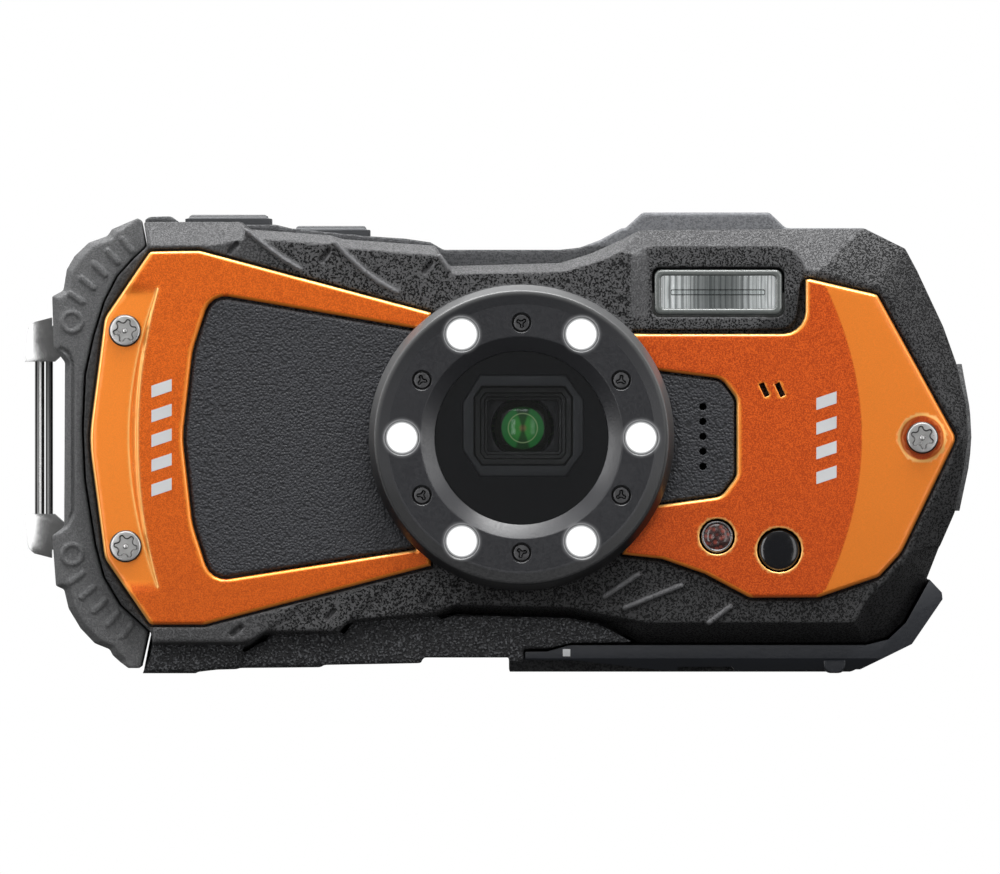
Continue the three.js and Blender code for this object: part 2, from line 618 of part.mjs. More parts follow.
function speakerPanel() {
  const holes = [-2, -1, 0, 1, 2].map((k) => (
    bar(SPEAKER_X, SPEAKER_Z + SPEAKER_PITCH * k, 0.5, -12, -9, 8)
  ));
  return cut(
    loft([PLATE_BACK, speakerOutline], [-10.8, speakerOutline], [-11.0, grow(speakerOutline, -0.2)]),
    ringBar(HUB_RADIUS + 0.4, -12, -9),
    ...holes,
  );
}

// a screw along Y, its head's front face at y = 0
function screw(headRadius, headHeight, shankRadius, length, recess, sides) {
  return cut(
    join(
      loft(
        [headHeight, circle(0, 0, headRadius, sides)],
        [headHeight * 0.3, circle(0, 0, headRadius, sides)],
        [0, circle(0, 0, headRadius * 0.86, sides)],
      ),
      bar(0, 0, shankRadius, headHeight - 0.1, length, 8),
    ),
    slab(recess, headHeight * 0.65, -1),
  );
}

// a recess with rounded points
function star(points, outer, inner) {
  return Array.from({ length: points * 2 }, (_, k) => {
    const radius = k % 2 ? inner : outer;
    const angle = (Math.PI * k) / points + Math.PI / 18;
    return [radius * Math.cos(angle), radius * Math.sin(angle)];
  });
}

function addFrontPlates() {
  piece('front_plate_left', leftPlate(), LOOKS.orange);
  piece('front_plate_right', rightPlate(), LOOKS.orange);
  const inlay = loft(
    [PLATE_BACK, inlayOutline], [-10.85, inlayOutline], [-11.1, grow(inlayOutline, -0.25)],
  );
  piece('grip_inlay', cut(inlay, ringBar(HUB_RADIUS + 0.4, -12, -9)), LOOKS.inlay);
  piece('speaker_panel', speakerPanel(), LOOKS.inlay);
  PLATE_SCREWS.forEach(([x, z], i) => {
    const shape = screw(PLATE_SCREW_HEAD, 0.95, 1.0, 5.2, star(6, 1.45, 0.95), 18);
    piece(`plate_screw_${i + 1}`, shape, LOOKS.steel, [x, PLATE_SCREW_FRONT, z]);
  });
  const [lamp, receiver] = [bar(0, 0, LAMP[2], 0, 2.6, 20), bar(0, 0, RECEIVER[2], 0, 2.4, 24)];
  piece('self_timer_lens', lamp, LOOKS.clear, [LAMP[0], -11.1, LAMP[1]]);
  piece('receiver_window', receiver, LOOKS.black, [RECEIVER[0], -10.9, RECEIVER[1]]);
}

// ---------------------------------------------------------------- lens ring

function ringCover() {
  const profile = [
    [WINDOW_RADIUS, -13.0], [WINDOW_RADIUS, -13.4], [CONE_RADIUS, RING_FLAT],
    [DISH_RADIUS, RING_FLAT], [CREST_RADIUS - 0.35, RING_FRONT], [CREST_RADIUS, RING_FRONT],
    [RING_RADIUS, -13.2], [RING_RADIUS, -11.6], [HUB_RADIUS, -11.6], [HUB_RADIUS, FACE - GAP],
    [18.4, FACE - GAP], [18.4, -12.9], [13.5, -12.9], [13.5, FACE - GAP], [12.9, FACE - GAP],
    [12.9, -13.0],
  ];
  const lights = lightSpots.map(([x, z]) => bar(x, z, LIGHT_RADIUS + 0.15, -16, -12, 12));
  const holes = ringScrewSpots.map(([x, z]) => bar(x, z, 0.9, -16, -12, 8));
  const wells = ringScrewSpots.map(([x, z]) => bar(x, z, RING_SCREW_HEAD + GAP, -16, -13.4, 10));
  return cut(turned(profile, 48), ...lights, ...holes, ...wells);
}

function lightGuide() {
  const band = turned([[13.8, -11.9], [13.8, -12.6], [18.1, -12.6], [18.1, -11.9]], 36);
  const domes = lightSpots.map(([x, z]) => loft(
    [-12.4, circle(x, z, LIGHT_RADIUS - 0.15, 12)], [-14.1, circle(x, z, LIGHT_RADIUS - 0.15, 12)],
    [-14.4, circle(x, z, LIGHT_RADIUS - 0.7, 12)],
  ));
  return cut(join(band, ...domes), ...ringScrewHoles);
}

function ledBoard() {
  const band = turned([[13.8, -10.9], [13.8, -11.4], [18.1, -11.4], [18.1, -10.9]], 36);
  const chip = block(-0.9, 0.9, -11.65, -11.2, -0.9, 0.9);
  const chips = lightSpots.map(([x, z]) => chip.translate([x, 0, z]));
  return cut(join(band, ...chips), ...ringScrewHoles);
}

function addLensRing() {
  const ring = group(RING_X, 0, RING_Z);
  piece('ring_cover', ringCover(), LOOKS.ring, [0, 0, 0], ring);
  piece('light_guide_ring', lightGuide(), LOOKS.lamp, [0, 0, 0], ring);
  piece('led_board', ledBoard(), LOOKS.board, [0, 0, 0], ring);
  ringScrewSpots.forEach(([x, z], i) => {
    const shape = screw(RING_SCREW_HEAD, 0.5, 0.6, 4.4, star(3, 0.75, 0.25), 12);
    piece(`ring_screw_${i + 1}`, shape, LOOKS.darkSteel, [x, RING_FLAT + 0.1, z], ring);
  });
  piece('lens_window', bar(0, 0, 12.6, 0, 1.9, 40), LOOKS.glass, [0, -12.7, 0], ring);
}

// ---------------------------------------------------------------- lens

// the lens module is folded: light turns down at the prism and runs along -Z to the sensor
const HOUSING = { left: -5.0, right: 10.9, front: -6.2, back: 6.0, low: 12.0, high: 41.0 };

function lensHousing() {
  const { left, right, front, back, low, high } = HOUSING;
  const channel = block(LENS_X - 5.4, LENS_X + 5.4, front + 1.2, back + 1, low + 4.2, high - 1.2);
  const sensorBay = block(left + 1.2, right - 1.2, front + 1.2, back + 1, low + 1.0, low + 3.4);
  const lightPath = block(LENS_X - 4, LENS_X + 4, front + 1.2, back - 2, low + 3, low + 5);
  return cut(
    block(left, right, front, back, low, high),
    channel,
    sensorBay,
    lightPath,
    bar(LENS_X, LENS_Z, 4.2, front - 1, front + 2, 24),
  );
}

function prism() {
  const side = [[-3.4, -3.4], [3.4, -3.4], [-3.4, 3.4]];
  const wedge = slab(side, 3.4, -3.4);
  return wedge.rotate([0, 0, 90]);
}

// a lens in its square carrier, its optical axis along Z
function lensGroup(height, guideSide) {
  return join(
    cut(block(-4.4, 4.4, -4.4, 4.4, -height / 2, height / 2), post(0, 0, 3.6, -height, height, 20)),
    post(0, 0, 3.7, -height / 4, height / 4, 20),
    block(guideSide * 4.4 - 0.5, guideSide * 4.4 + 0.5, -1, 1, -height / 2, height / 2),
  );
}

function addLens() {
  const opening = MASK_OPENING;
  const frame = loft(
    [-7.4, grow(opening, 1.6)], [-10.2, grow(opening, 1.6)], [-10.5, grow(opening, 1.2)],
  );
  const funnel = loft([-7.0, grow(opening, -2.8)], [-9.0, grow(opening, -1.4)], [-11, grow(opening, 0)]);
  piece('lens_mask', cut(frame, funnel), LOOKS.black);
  const lens = group(LENS_X, 0, LENS_Z);
  const glass = turned([[0, -7.2], [2.0, -6.95], [3.4, -6.4], [3.8, -6.2], [3.8, -5.2], [0, -5.2]], 32);
  piece('front_lens', glass, LOOKS.lens, [0, 0, 0], lens);
  piece('prism', prism(), LOOKS.clear, [0, -1.2, 0], lens);
  piece('lens_housing', lensHousing(), LOOKS.black);
  piece('zoom_group', lensGroup(4, 1), LOOKS.black, [LENS_X, -0.2, 26.2]);
  piece('focus_group', lensGroup(2.4, -1), LOOKS.black, [LENS_X, -0.2, 18.2]);
  const sensor = block(-5.6, 5.6, -4.0, 4.6, -0.8, 0.8);
  piece('image_sensor_board', sensor, LOOKS.board, [LENS_X - 0.3, 0, 14.2]);
}

// ---------------------------------------------------------------- flash

function addFlash() {
  piece('flash_window', slab(flashOutline(0), -9.5, -11.25), LOOKS.clear);
  const trough = loft(
    [-6.4, rectangle(22.6, 36.0, 49.9, 52.0)], [-9.8, rectangle(21.6, 36.9, 48.9, 53.1)],
  );
  const reflector = cut(slab(rectangle(21.2, 37.5, 48.3, 53.6), -5.6, -9.2), trough);
  piece('flash_reflector', reflector, LOOKS.steel);
  const can = new THREE.CylinderGeometry(4.2, 4.2, 27, 20).rotateZ(Math.PI / 2);
  piece('flash_capacitor', solid(can), LOOKS.label, [-31, -3.0, 15.5]);
}

// ---------------------------------------------------------------- electronics

function addElectronics() {
  piece('speaker', cut(bar(0, 0, 6.4, 0, 2.6, 28), bar(0, 0, 4.6, -1, 0.8, 24)), LOOKS.black,
    [SPEAKER_X, -7.8, SPEAKER_Z]);
  const board = block(-46, 10.8, 7.0, 8.0, 12, 50);
  piece('main_board', cut(board, block(-20, -7, 6, 9, 8, 20)), LOOKS.board);
  const frame = cut(block(-45, 50, 9.4, 9.8, 12, 51), block(-38, -27, 8, 10, 22, 34));
  piece('chassis', frame, LOOKS.steel);
  piece('lcd_module', block(-8.8, 47.8, 10.1, 11.8, 12.2, 49.8), LOOKS.black);
  const { left, right, low, high } = SCREEN;
  const window = loft([BACK + 0.1, rectangle(left + 0.3, right - 0.3, low + 0.3, high - 0.3, 2)],
    [BACK - 0.1, rectangle(left, right, low, high, 2)], [12.3, rectangle(left, right, low, high, 2)]);
  piece('lcd_window', window, LOOKS.glass);
}

// ---------------------------------------------------------------- battery bay and door

function batteryBay() {
  const { left, right, front, back, low, high } = BATTERY;
  return cut(
    block(left - 1.1, right + 1.1, front - 0.8, CARD.back + 0.1, low - GAP, high + 1.4),
    block(left - GAP, right + GAP, front - GAP, back + GAP, 0, high + GAP),
    block(CARD.left - GAP, CARD.right + GAP, CARD.front - 0.2, CARD.back + 1, 0, CARD.high + GAP),
    block(right + GAP, right + 2, LATCH_Y - 1.9, LATCH_Y + 1.9, 0, 8.2),
  );
}

function batteryDoor() {
  const outline = [
    [HINGE[0], HINGE[1] + 0.5], [6.5, 2.9], [9.5, DOOR_TOP], [49.1, DOOR_TOP], [52.15, 4.5],
    [54.5, 6.75], [57.7, 12.5], [59.3, 10.8], [59.4, 9.9], [55.3, 3.9], [48.4, 0.5],
    [31.7, 0.27], [31.2, 0.87], [24.1, 0.87], [23.7, 0.27], [22.65, 0.27], [14.9, 1.2],
    [9.3, 1.8], [HINGE[0], HINGE[1] - 0.55],
  ];
  const reach = HINGE_HALF - GAP;
  const knuckle = bar(HINGE[0], HINGE[1], HINGE_RADIUS, -reach, reach, 16);
  const main = cut(
    slab(outline, DOOR_BACK, DOOR_FRONT),
    block(0, 3.6, -10, -reach, 0, 5),
    block(0, 3.6, reach, 11, 0, 5),
  );
  const inside = block(15, 41, 0, 8, 2.2, 5);
  const sealGroove = cut(
    block(DOORWAY.left, DOORWAY.right - 1, -1.6, 9.6, 3.1, 5),
    block(DOORWAY.left + 1.5, DOORWAY.right - 2.5, -0.1, 8.1, 3, 5),
  );
  return cut(
    join(main, knuckle),
    bar(HINGE[0], HINGE[1], PIN_BORE, -9, 9, 12),
    inside,
    sealGroove,
    block(LEVER_X - 1.9, LEVER_X + 4.9, -6.0, -1.9, -1, 2.1),
  );
}

function addBattery() {
  piece('battery_bay', batteryBay(), LOOKS.black);
  const { left, right, front, back, low, high } = BATTERY;
  piece('battery', block(left, right, front, back, low, high), LOOKS.label);
  const card = block(CARD.left, CARD.right, CARD.front + 0.1, CARD.back, CARD.low, CARD.high);
  piece('memory_card', card, LOOKS.black);
  const latch = join(block(-0.4, 0.4, -1.6, 1.6, 0, 2.6), block(-1.5, 0, -1.2, 1.2, 0, 0.6));
  piece('battery_latch', latch, LOOKS.guard, [right + 0.75, LATCH_Y, 4.3]);
  piece('battery_door', batteryDoor(), LOOKS.door);
  const seal = cut(
    block(DOORWAY.left + 0.3, DOORWAY.right - 1.3, -1.3, 9.3, 3.4, 3.95),
    block(DOORWAY.left + 1.2, DOORWAY.right - 2.2, -0.4, 8.4, 3, 5),
  );
  piece('door_seal', seal, LOOKS.rubber);
  const lever = rounded([[-1.45, 1.8], [1.45, 1.8], [1.45, 0, 0.9], [-1.45, 0, 0.9]]);
  piece('door_lock_lever', slab(lever, 1.85, -1.85), LOOKS.guard, [LEVER_X, -3.9, 0]);
  const pin = bar(0, 0, PIN_RADIUS, -7.4, 7.4, 12);
  piece('door_hinge_pin', pin, LOOKS.steel, [HINGE[0], 0, HINGE[1]]);
  const socket = cut(post(0, 0, 5.0, 2.1, 8.2, 32), post(0, 0, 3.1, 0, 7.2, 24));
  piece('tripod_socket', socket, LOOKS.steel, [SOCKET_X, SOCKET_Y, 0]);
}

// ---------------------------------------------------------------- controls

// a push button on the back: its cap is domed by a small chamfer
function backButton(halfWidth, halfHeight) {
  return loft(
    [14.0, pill(0, 0, halfWidth - 0.6, halfHeight - 0.6)], [13.6, pill(0, 0, halfWidth, halfHeight)],
    [10.6, pill(0, 0, halfWidth, halfHeight)],
  );
}

function addControls() {
  BACK_BUTTONS.forEach(([name, x, z, width, height]) => {
    const material = name === 'movie_button' ? LOOKS.red : LOOKS.door;
    piece(name, backButton(width, height), material, [x, 0, z]);
  });
  const pad = group(PAD_X, 0, PAD_Z);
  const dish = turned([
    [3.9, 12.95], [3.9, 13.9], [5.0, 13.7], [7.4, 14.1], [8.2, 13.7], [8.2, 12.75], [6.0, 12.95],
  ], 40);
  piece('direction_pad', dish, LOOKS.door, [0, 0, 0], pad);
  const gimbal = turned([[4.3, 12.3], [5.6, 12.3], [5.6, 12.55], [4.3, 12.55]], 32);
  piece('pad_gimbal', gimbal, LOOKS.steel, [0, 0, 0], pad);
  const ok = turned([[0, 10.6], [3.2, 10.6], [3.2, 13.6], [2.6, 13.95], [0, 14.05]], 28);
  piece('ok_button', ok, LOOKS.door, [0, 0, 0], pad);
  TOP_BUTTONS.forEach(([name, left, right, low, high]) => {
    const [front, back] = [TOP_BUTTON_FRONT, TOP_BUTTON_BACK];
    const cap = join(
      block(left, right, front, back, low, high - 0.5),
      block(left + 0.6, right - 0.6, front + 0.6, back - 0.6, high - 0.6, high),
    );
    const stem = post((left + right) / 2, (front + back) / 2, TOP_BUTTON_STEM, low - 3.0, low + 0.2);
    piece(name, join(cap, stem), LOOKS.door);
  });
}

// ---------------------------------------------------------------- assembly

addHousings();
addFrontPlates();
addLensRing();
addLens();
addFlash();
addElectronics();
addBattery();
addControls();

export default camera;
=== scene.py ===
"""The looks of a rugged waterproof compact camera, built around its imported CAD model.

Sizes are in millimetres until a mesh is made. X runs along the body, +Y to the back, +Z up.
"""

import json
import math

import bmesh
import bpy
import numpy as np
from mathutils import Matrix, Vector
from mathutils.geometry import delaunay_2d_cdt


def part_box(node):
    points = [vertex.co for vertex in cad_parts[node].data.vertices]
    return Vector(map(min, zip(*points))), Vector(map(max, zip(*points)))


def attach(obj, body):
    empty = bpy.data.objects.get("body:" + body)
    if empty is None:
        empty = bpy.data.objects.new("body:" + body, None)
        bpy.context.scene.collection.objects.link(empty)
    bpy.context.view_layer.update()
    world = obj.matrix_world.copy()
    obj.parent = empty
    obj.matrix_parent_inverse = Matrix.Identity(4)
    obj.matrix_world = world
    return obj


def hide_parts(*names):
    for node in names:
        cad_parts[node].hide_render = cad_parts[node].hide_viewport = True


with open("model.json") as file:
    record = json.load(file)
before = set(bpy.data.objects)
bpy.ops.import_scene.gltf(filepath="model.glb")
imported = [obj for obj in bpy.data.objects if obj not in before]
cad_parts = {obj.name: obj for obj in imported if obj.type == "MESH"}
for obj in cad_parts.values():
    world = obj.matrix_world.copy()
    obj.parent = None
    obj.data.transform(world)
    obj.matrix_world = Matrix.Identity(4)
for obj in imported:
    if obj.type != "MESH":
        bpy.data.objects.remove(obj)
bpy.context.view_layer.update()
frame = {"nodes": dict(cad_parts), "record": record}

MM = 0.001
GAP = 0.3
VOXEL = 0.22
DETAIL = 192
MOST_FACES = 190_000


# ---------------------------------------------------------------- places taken from the frame


def span(node):
    low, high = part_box(node)
    return low / MM, high / MM


def middle(node):
    low, high = span(node)
    return (low + high) / 2


RING_LOW, RING_HIGH = span("ring_cover")
RING_X, RING_Z = middle("ring_cover").x, middle("ring_cover").z
RING_RADIUS = (RING_HIGH.x - RING_LOW.x) / 2
RING_FRONT = RING_LOW.y
PLATE_LOW, PLATE_HIGH = span("front_plate_left")
PLATE_FRONT, PLATE_BACK = PLATE_LOW.y, PLATE_HIGH.y
FACE = PLATE_FRONT + 0.9
SHOULDER = FACE + 5.8
LENS_X, LENS_Z = middle("front_lens").x, middle("front_lens").z
LIGHT_CIRCLE, SCREW_CIRCLE = 15.95, 15.35
IN_FRONT = -20  # the depth at which a cutting tool is clear of the whole body


# ---------------------------------------------------------------- solids: (points, faces)


def loft(*sections):
    """A closed solid through outlines of (x, z), each at its depth."""
    count = len(sections[0][1])
    points = [(x, y, z) for y, outline in sections for x, z in outline]
    faces = [tuple(range(count)), tuple(range(len(points) - 1, len(points) - 1 - count, -1))]
    for level in range(len(sections) - 1):
        for i in range(count):
            a, b = level * count + i, level * count + (i + 1) % count
            faces.append((a, a + count, b + count, b))
    return points, faces


def prism(outline, back, front):
    return loft((back, outline), (front, outline))


def box(x0, x1, y0, y1, z0, z1):
    return prism([(x0, z0), (x1, z0), (x1, z1), (x0, z1)], y1, y0)


def circle(x, z, radius, sides=48):
    turns = [2 * math.pi * k / sides for k in range(sides)]
    return [(x + radius * math.cos(t), z + radius * math.sin(t)) for t in turns]


def quarter(parts):
    """Angles from 0 to 90 degrees in equal parts, in radians."""
    return [math.radians(90 * k / parts) for k in range(parts + 1)]


def ring_spots(radius, start=0.0, count=6):
    """Places spread evenly round the lens ring, from an angle in degrees."""
    turns = [math.radians(start + 360 * k / count) for k in range(count)]
    return [(RING_X + radius * math.cos(t), RING_Z + radius * math.sin(t)) for t in turns]


def rounded(corners, steps=6):
    """An outline with each corner (x, z, radius) rounded."""
    outline = []
    for i, (x, z, radius) in enumerate(corners):
        if not radius:
            outline.append((x, z))
            continue
        corner = Vector((x, z))
        before = (Vector(corners[i - 1][:2]) - corner).normalized()
        after = (Vector(corners[(i + 1) % len(corners)][:2]) - corner).normalized()
        half = before.angle(after) / 2
        centre = corner + (before + after).normalized() * (radius / math.sin(half))
        start = corner + before * (radius / math.tan(half)) - centre
        end = corner + after * (radius / math.tan(half)) - centre
        sweep = math.atan2(start.cross(end), start.dot(end))
        for k in range(steps + 1):
            turned = Matrix.Rotation(sweep * k / steps, 2) @ start
            outline.append(tuple(centre + turned))
    return outline


def rectangle(left, right, low, high, radius):
    return rounded([(x, z, radius) for x, z in ((left, low), (right, low), (right, high), (left, high))])


def capsule(start, end, half_width, steps=8):
    """The outline of a line of that half width with round ends."""
    a, b = Vector(start), Vector(end)
    along = math.atan2(b.y - a.y, b.x - a.x)
    outline = []
    for centre, first in ((b, -90), (a, 90)):
        for k in range(steps + 1):
            turn = along + math.radians(first + 180 * k / steps)
            outline.append((centre.x + half_width * math.cos(turn), centre.y + half_width * math.sin(turn)))
    return outline


def grow(outline, distance):
    """Moves an outline outwards, or inwards for a negative distance."""
    points = np.array(outline)
    following, preceding = np.roll(points, -1, 0), np.roll(points, 1, 0)
    area = np.sum(points[:, 0] * following[:, 1] - following[:, 0] * points[:, 1])

    def normals(start, end):
        edge = end - start
        return np.stack([edge[:, 1], -edge[:, 0]], 1) / np.linalg.norm(edge, axis=1)[:, None] * np.sign(area)

    first, second = normals(preceding, points), normals(points, following)
    scale = distance / np.maximum(1 + np.sum(first * second, 1), 0.3)
    return [tuple(p) for p in points + (first + second) * scale[:, None]]


def lathe(profile, x, z, sides=None):
    """A closed solid turned about a line along Y through (x, z). The profile is (radius, y)."""
    sides = sides or DETAIL
    count = len(profile)
    points, faces = [], []
    for k in range(sides):
        turn = 2 * math.pi * k / sides
        points += [(x + r * math.cos(turn), y, z + r * math.sin(turn)) for r, y in profile]
        after = (k + 1) % sides
        for i in range(count):
            j = (i + 1) % count
            faces.append((k * count + i, k * count + j, after * count + j, after * count + i))
    return points, faces


def placed(solid, matrix):
    points, faces = solid
    return [tuple(matrix @ Vector(p)) for p in points], faces


def upright(solid):
    """Turns a solid so that its depth runs up: what was at (x, y, z) goes to (x, -z, y)."""
    return placed(solid, Matrix.Rotation(math.pi / 2, 4, "X"))


def lengthwise(outline, start, end):
    """A prism along X, its outline given as (y, z)."""
    return placed(prism(outline, -start, -end), Matrix.Rotation(math.pi / 2, 4, "Z"))


def section(node, depth):
    """The outlines where a plane at that depth cuts a CAD node, the longest first."""
    bm = bmesh.new()
    bm.from_mesh(frame["nodes"][node].data)
    bmesh.ops.remove_doubles(bm, verts=bm.verts, dist=1e-7)
    everything = bm.verts[:] + bm.edges[:] + bm.faces[:]
    bmesh.ops.bisect_plane(
        bm, geom=everything, dist=1e-9, plane_co=(0, depth * MM, 0), plane_no=(0, 1, 0),
        clear_inner=True, clear_outer=True,
    )
    outlines, seen = [], set()
    for first in bm.verts:
        if first in seen or len(first.link_edges) != 2:
            continue
        loop, vert, edge = [], first, first.link_edges[0]
        while vert not in seen:
            seen.add(vert)
            loop.append((vert.co.x / MM, vert.co.z / MM))
            vert = edge.other_vert(vert)
            edge = next((e for e in vert.link_edges if e != edge), edge)
        outlines.append(straightened(loop))
    bm.free()
    return sorted(outlines, key=outline_length, reverse=True)


def outline_length(outline):
    return sum(math.dist(a, b) for a, b in zip(outline, outline[1:] + outline[:1]))


def straightened(loop):
    """The loop without the points that lie on a straight stretch."""
    kept = []
    for i, point in enumerate(loop):
        a, b, c = Vector(loop[i - 1]), Vector(point), Vector(loop[(i + 1) % len(loop)])
        before, after = b - a, c - b
        if before.length > 1e-4 and after.length > 1e-4 and before.angle(after) > 0.01:
            kept.append(point)
    return kept


def resampled(outline, step):
    points = []
    for a, b in zip(outline, outline[1:] + outline[:1]):
        parts = max(1, math.ceil(math.dist(a, b) / step))
        points += [(a[0] + (b[0] - a[0]) * k / parts, a[1] + (b[1] - a[1]) * k / parts) for k in range(parts)]
    return points


def distance_to(points, outline):
    """How far each point is from an outline."""
    start = np.array(outline)
    edge = np.roll(start, -1, 0) - start
    length = np.maximum(np.sum(edge * edge, 1), 1e-12)
    nearest = np.full(len(points), 1e9)
    for s, e, squared in zip(start, edge, length):
        t = np.clip(((points - s) @ e) / squared, 0, 1)
        nearest = np.minimum(nearest, np.linalg.norm(points - s - t[:, None] * e, axis=1))
    return nearest


def inside(points, outlines):
    """True where a point is inside an odd number of the outlines."""
    found = np.zeros(len(points), bool)
    for outline in outlines:
        for (x0, z0), (x1, z1) in zip(outline, outline[1:] + outline[:1]):
            if z0 == z1:
                continue
            between = (z0 > points[:, 1]) != (z1 > points[:, 1])
            cross = points[:, 0] < x0 + (points[:, 1] - z0) * (x1 - x0) / (z1 - z0)
            found ^= between & cross
    return found


def relief(outlines, radii, height, back, step=0.45, lines=()):
    """A plate closed at its back, with front height(x, z) and each edge rounded by its radius.

    The first outline is the plate's edge and the rest are its holes. The mesh follows lines.
    """
    step = step * 1
    loops = [resampled(outline, step * 0.8) for outline in outlines]
    points, edges = [], []
    for loop in loops:
        start = len(points)
        points += loop
        edges += [(start + i, start + (i + 1) % len(loop)) for i in range(len(loop))]
    for loop, radius in zip(loops, radii):
        for share in (0.094, 0.357, 0.741, 1.0):
            for side in (-1, 1):
                shifted = np.array(grow(loop, side * share * radius))
                near = distance_to(shifted, loop) > 0.9 * share * radius
                points += [tuple(p) for p in shifted[near & inside(shifted, loops)]]
    for line in lines:
        way_back = max(1, math.ceil(math.dist(line[-1], line[0]) / (step * 0.8)))
        track = np.array([*resampled(list(line), step * 0.8)[:-way_back], line[-1]])
        clear = inside(track, loops)
        for loop, radius in zip(loops, radii):
            clear &= distance_to(track, loop) > radius + 0.05
        start = len(points)
        points += [tuple(p) for p in track[clear]]
        places = np.flatnonzero(clear)
        neighbours = np.flatnonzero(np.diff(places) == 1)
        edges += [(start + i, start + i + 1) for i in neighbours.tolist()]
    low, high = np.min(loops[0], 0), np.max(loops[0], 0)
    rows = np.arange(low[1], high[1], step * 0.866)
    grid = np.array([
        (x + (step / 2 if k % 2 else 0), z)
        for k, z in enumerate(rows) for x in np.arange(low[0], high[0], step)
    ])
    grid = grid[inside(grid, loops)]
    clear = np.ones(len(grid), bool)
    for loop, radius in zip(loops, radii):
        clear &= distance_to(grid, loop) > radius + step * 0.4
    for line in lines:
        clear &= distance_to(grid, [*line, *line[-2:0:-1]]) > step * 0.45
    points += [tuple(p) for p in grid[clear]]
    flat, _, triangles, *_ = delaunay_2d_cdt([Vector(p) for p in points], edges, [], 0, 1e-5)
    flat = np.array([tuple(p) for p in flat])
    triangles = np.array(triangles)
    triangles = triangles[inside(flat[triangles].mean(1), loops)]
    front = height(flat[:, 0], flat[:, 1])
    for loop, radius in zip(loops, radii):
        inward = np.maximum(radius - distance_to(flat, loop), 0)
        front = front + radius - np.sqrt(np.maximum(radius**2 - inward**2, 0))
    front = np.minimum(front, back - 0.02)
    count = len(flat)
    solid = [(x, y, z) for (x, z), y in zip(flat, front)] + [(x, back, z) for x, z in flat]
    faces = [tuple(t) for t in triangles] + [tuple(t[::-1] + count) for t in triangles]
    sides = {}
    for a, b, c in triangles:
        for edge in ((a, b), (b, c), (c, a)):
            sides[tuple(sorted(edge))] = None if tuple(sorted(edge)) in sides else edge
    faces += [(b, a, a + count, b + count) for edge in sides.values() if edge for a, b in [edge]]
    return solid, faces


# ---------------------------------------------------------------- objects


def added(name, data):
    """A new object in the scene, from a mesh, a light or a camera."""
    thing = bpy.data.objects.new(name, data)
    bpy.context.scene.collection.objects.link(thing)
    return thing


def made(name, solid):
    """A new object from a solid."""
    points, faces = solid
    mesh = bpy.data.meshes.new(name)
    bm = bmesh.new()
    verts = [bm.verts.new(Vector(p) * MM) for p in points]
    for face in faces:
        corners = [verts[i] for i in dict.fromkeys(face)]
        if len(corners) > 2 and bm.faces.get(corners) is None:
            bm.faces.new(corners)
    bmesh.ops.remove_doubles(bm, verts=bm.verts, dist=1e-7)
    bmesh.ops.delete(bm, geom=[v for v in bm.verts if not v.link_faces], context="VERTS")
    bmesh.ops.recalc_face_normals(bm, faces=bm.faces)
    bm.to_mesh(mesh)
    bm.free()
    return added(name, mesh)


def copied(name, node):
    """A new object with a CAD node's mesh, its vertices merged."""
    mesh = frame["nodes"][node].data.copy()
    bm = bmesh.new()
    bm.from_mesh(mesh)
    bmesh.ops.remove_doubles(bm, verts=bm.verts, dist=1e-7)
    fresh = bpy.data.meshes.new(name)
    bm.to_mesh(fresh)
    bm.free()
    bpy.data.meshes.remove(mesh)
    for layer in list(fresh.attributes):
        if layer.name == "custom_normal":
            fresh.attributes.remove(layer)
    fresh.materials.clear()
    return added(name, fresh)


def settled(thing):
    """Applies an object's modifiers to its mesh."""
    bpy.context.view_layer.update()
    evaluated = thing.evaluated_get(bpy.context.evaluated_depsgraph_get())
    mesh = bpy.data.meshes.new_from_object(evaluated)
    old = thing.data
    thing.modifiers.clear()
    thing.data = mesh
    bpy.data.meshes.remove(old)
    return thing


def carved(thing, solids, operation="DIFFERENCE"):
    """Cuts solids out of an object, or joins them to it."""
    tools = [made("tool", solid) for solid in solids]
    for tool in tools:
        change = thing.modifiers.new("carve", "BOOLEAN")
        change.object, change.operation, change.solver = tool, operation, "MANIFOLD"
    settled(thing)
    for tool in tools:
        bpy.data.objects.remove(tool)
    return thing


def shaded(thing, angle=35):
    mesh = thing.data
    mesh.polygons.foreach_set("use_smooth", [True] * len(mesh.polygons))
    mesh.set_sharp_from_angle(angle=math.radians(angle))
    return thing


def bevelled(thing, width, segments=3, angle=28):
    bevel = thing.modifiers.new("edges", "BEVEL")
    bevel.width, bevel.segments, bevel.angle_limit = width * MM, segments, math.radians(angle)
    bevel.limit_method = "ANGLE"
    bevel.use_clamp_overlap = True
    settled(thing)
    return shaded(thing)


def moulded(name, node, extras=(), pockets=(), grooves=(), voxel=VOXEL, smoothing=2):
    """A CAD node's shape as a moulding: extra solids join it, and every edge is softened."""
    parts = [copied(name, node)] + [made("extra", solid) for solid in extras]
    for part in parts[1:]:
        if pockets:
            carved(part, pockets)
    if grooves:
        for part in parts:
            carved(part, grooves)
    bm = bmesh.new()
    for part in parts:
        bm.from_mesh(part.data)
    bm.to_mesh(parts[0].data)
    bm.free()
    for part in parts[1:]:
        bpy.data.objects.remove(part)
    thing = parts[0]
    remesh = thing.modifiers.new("remesh", "REMESH")
    remesh.mode, remesh.voxel_size = "VOXEL", voxel * MM
    soften = thing.modifiers.new("soften", "SMOOTH")
    soften.factor, soften.iterations = 0.5, smoothing
    settled(thing)
    triangles = 2 * len(thing.data.polygons)
    if triangles > MOST_FACES:
        thin = thing.modifiers.new("thin", "DECIMATE")
        thin.ratio = MOST_FACES / triangles
        settled(thing)
    return shaded(thing, 60)


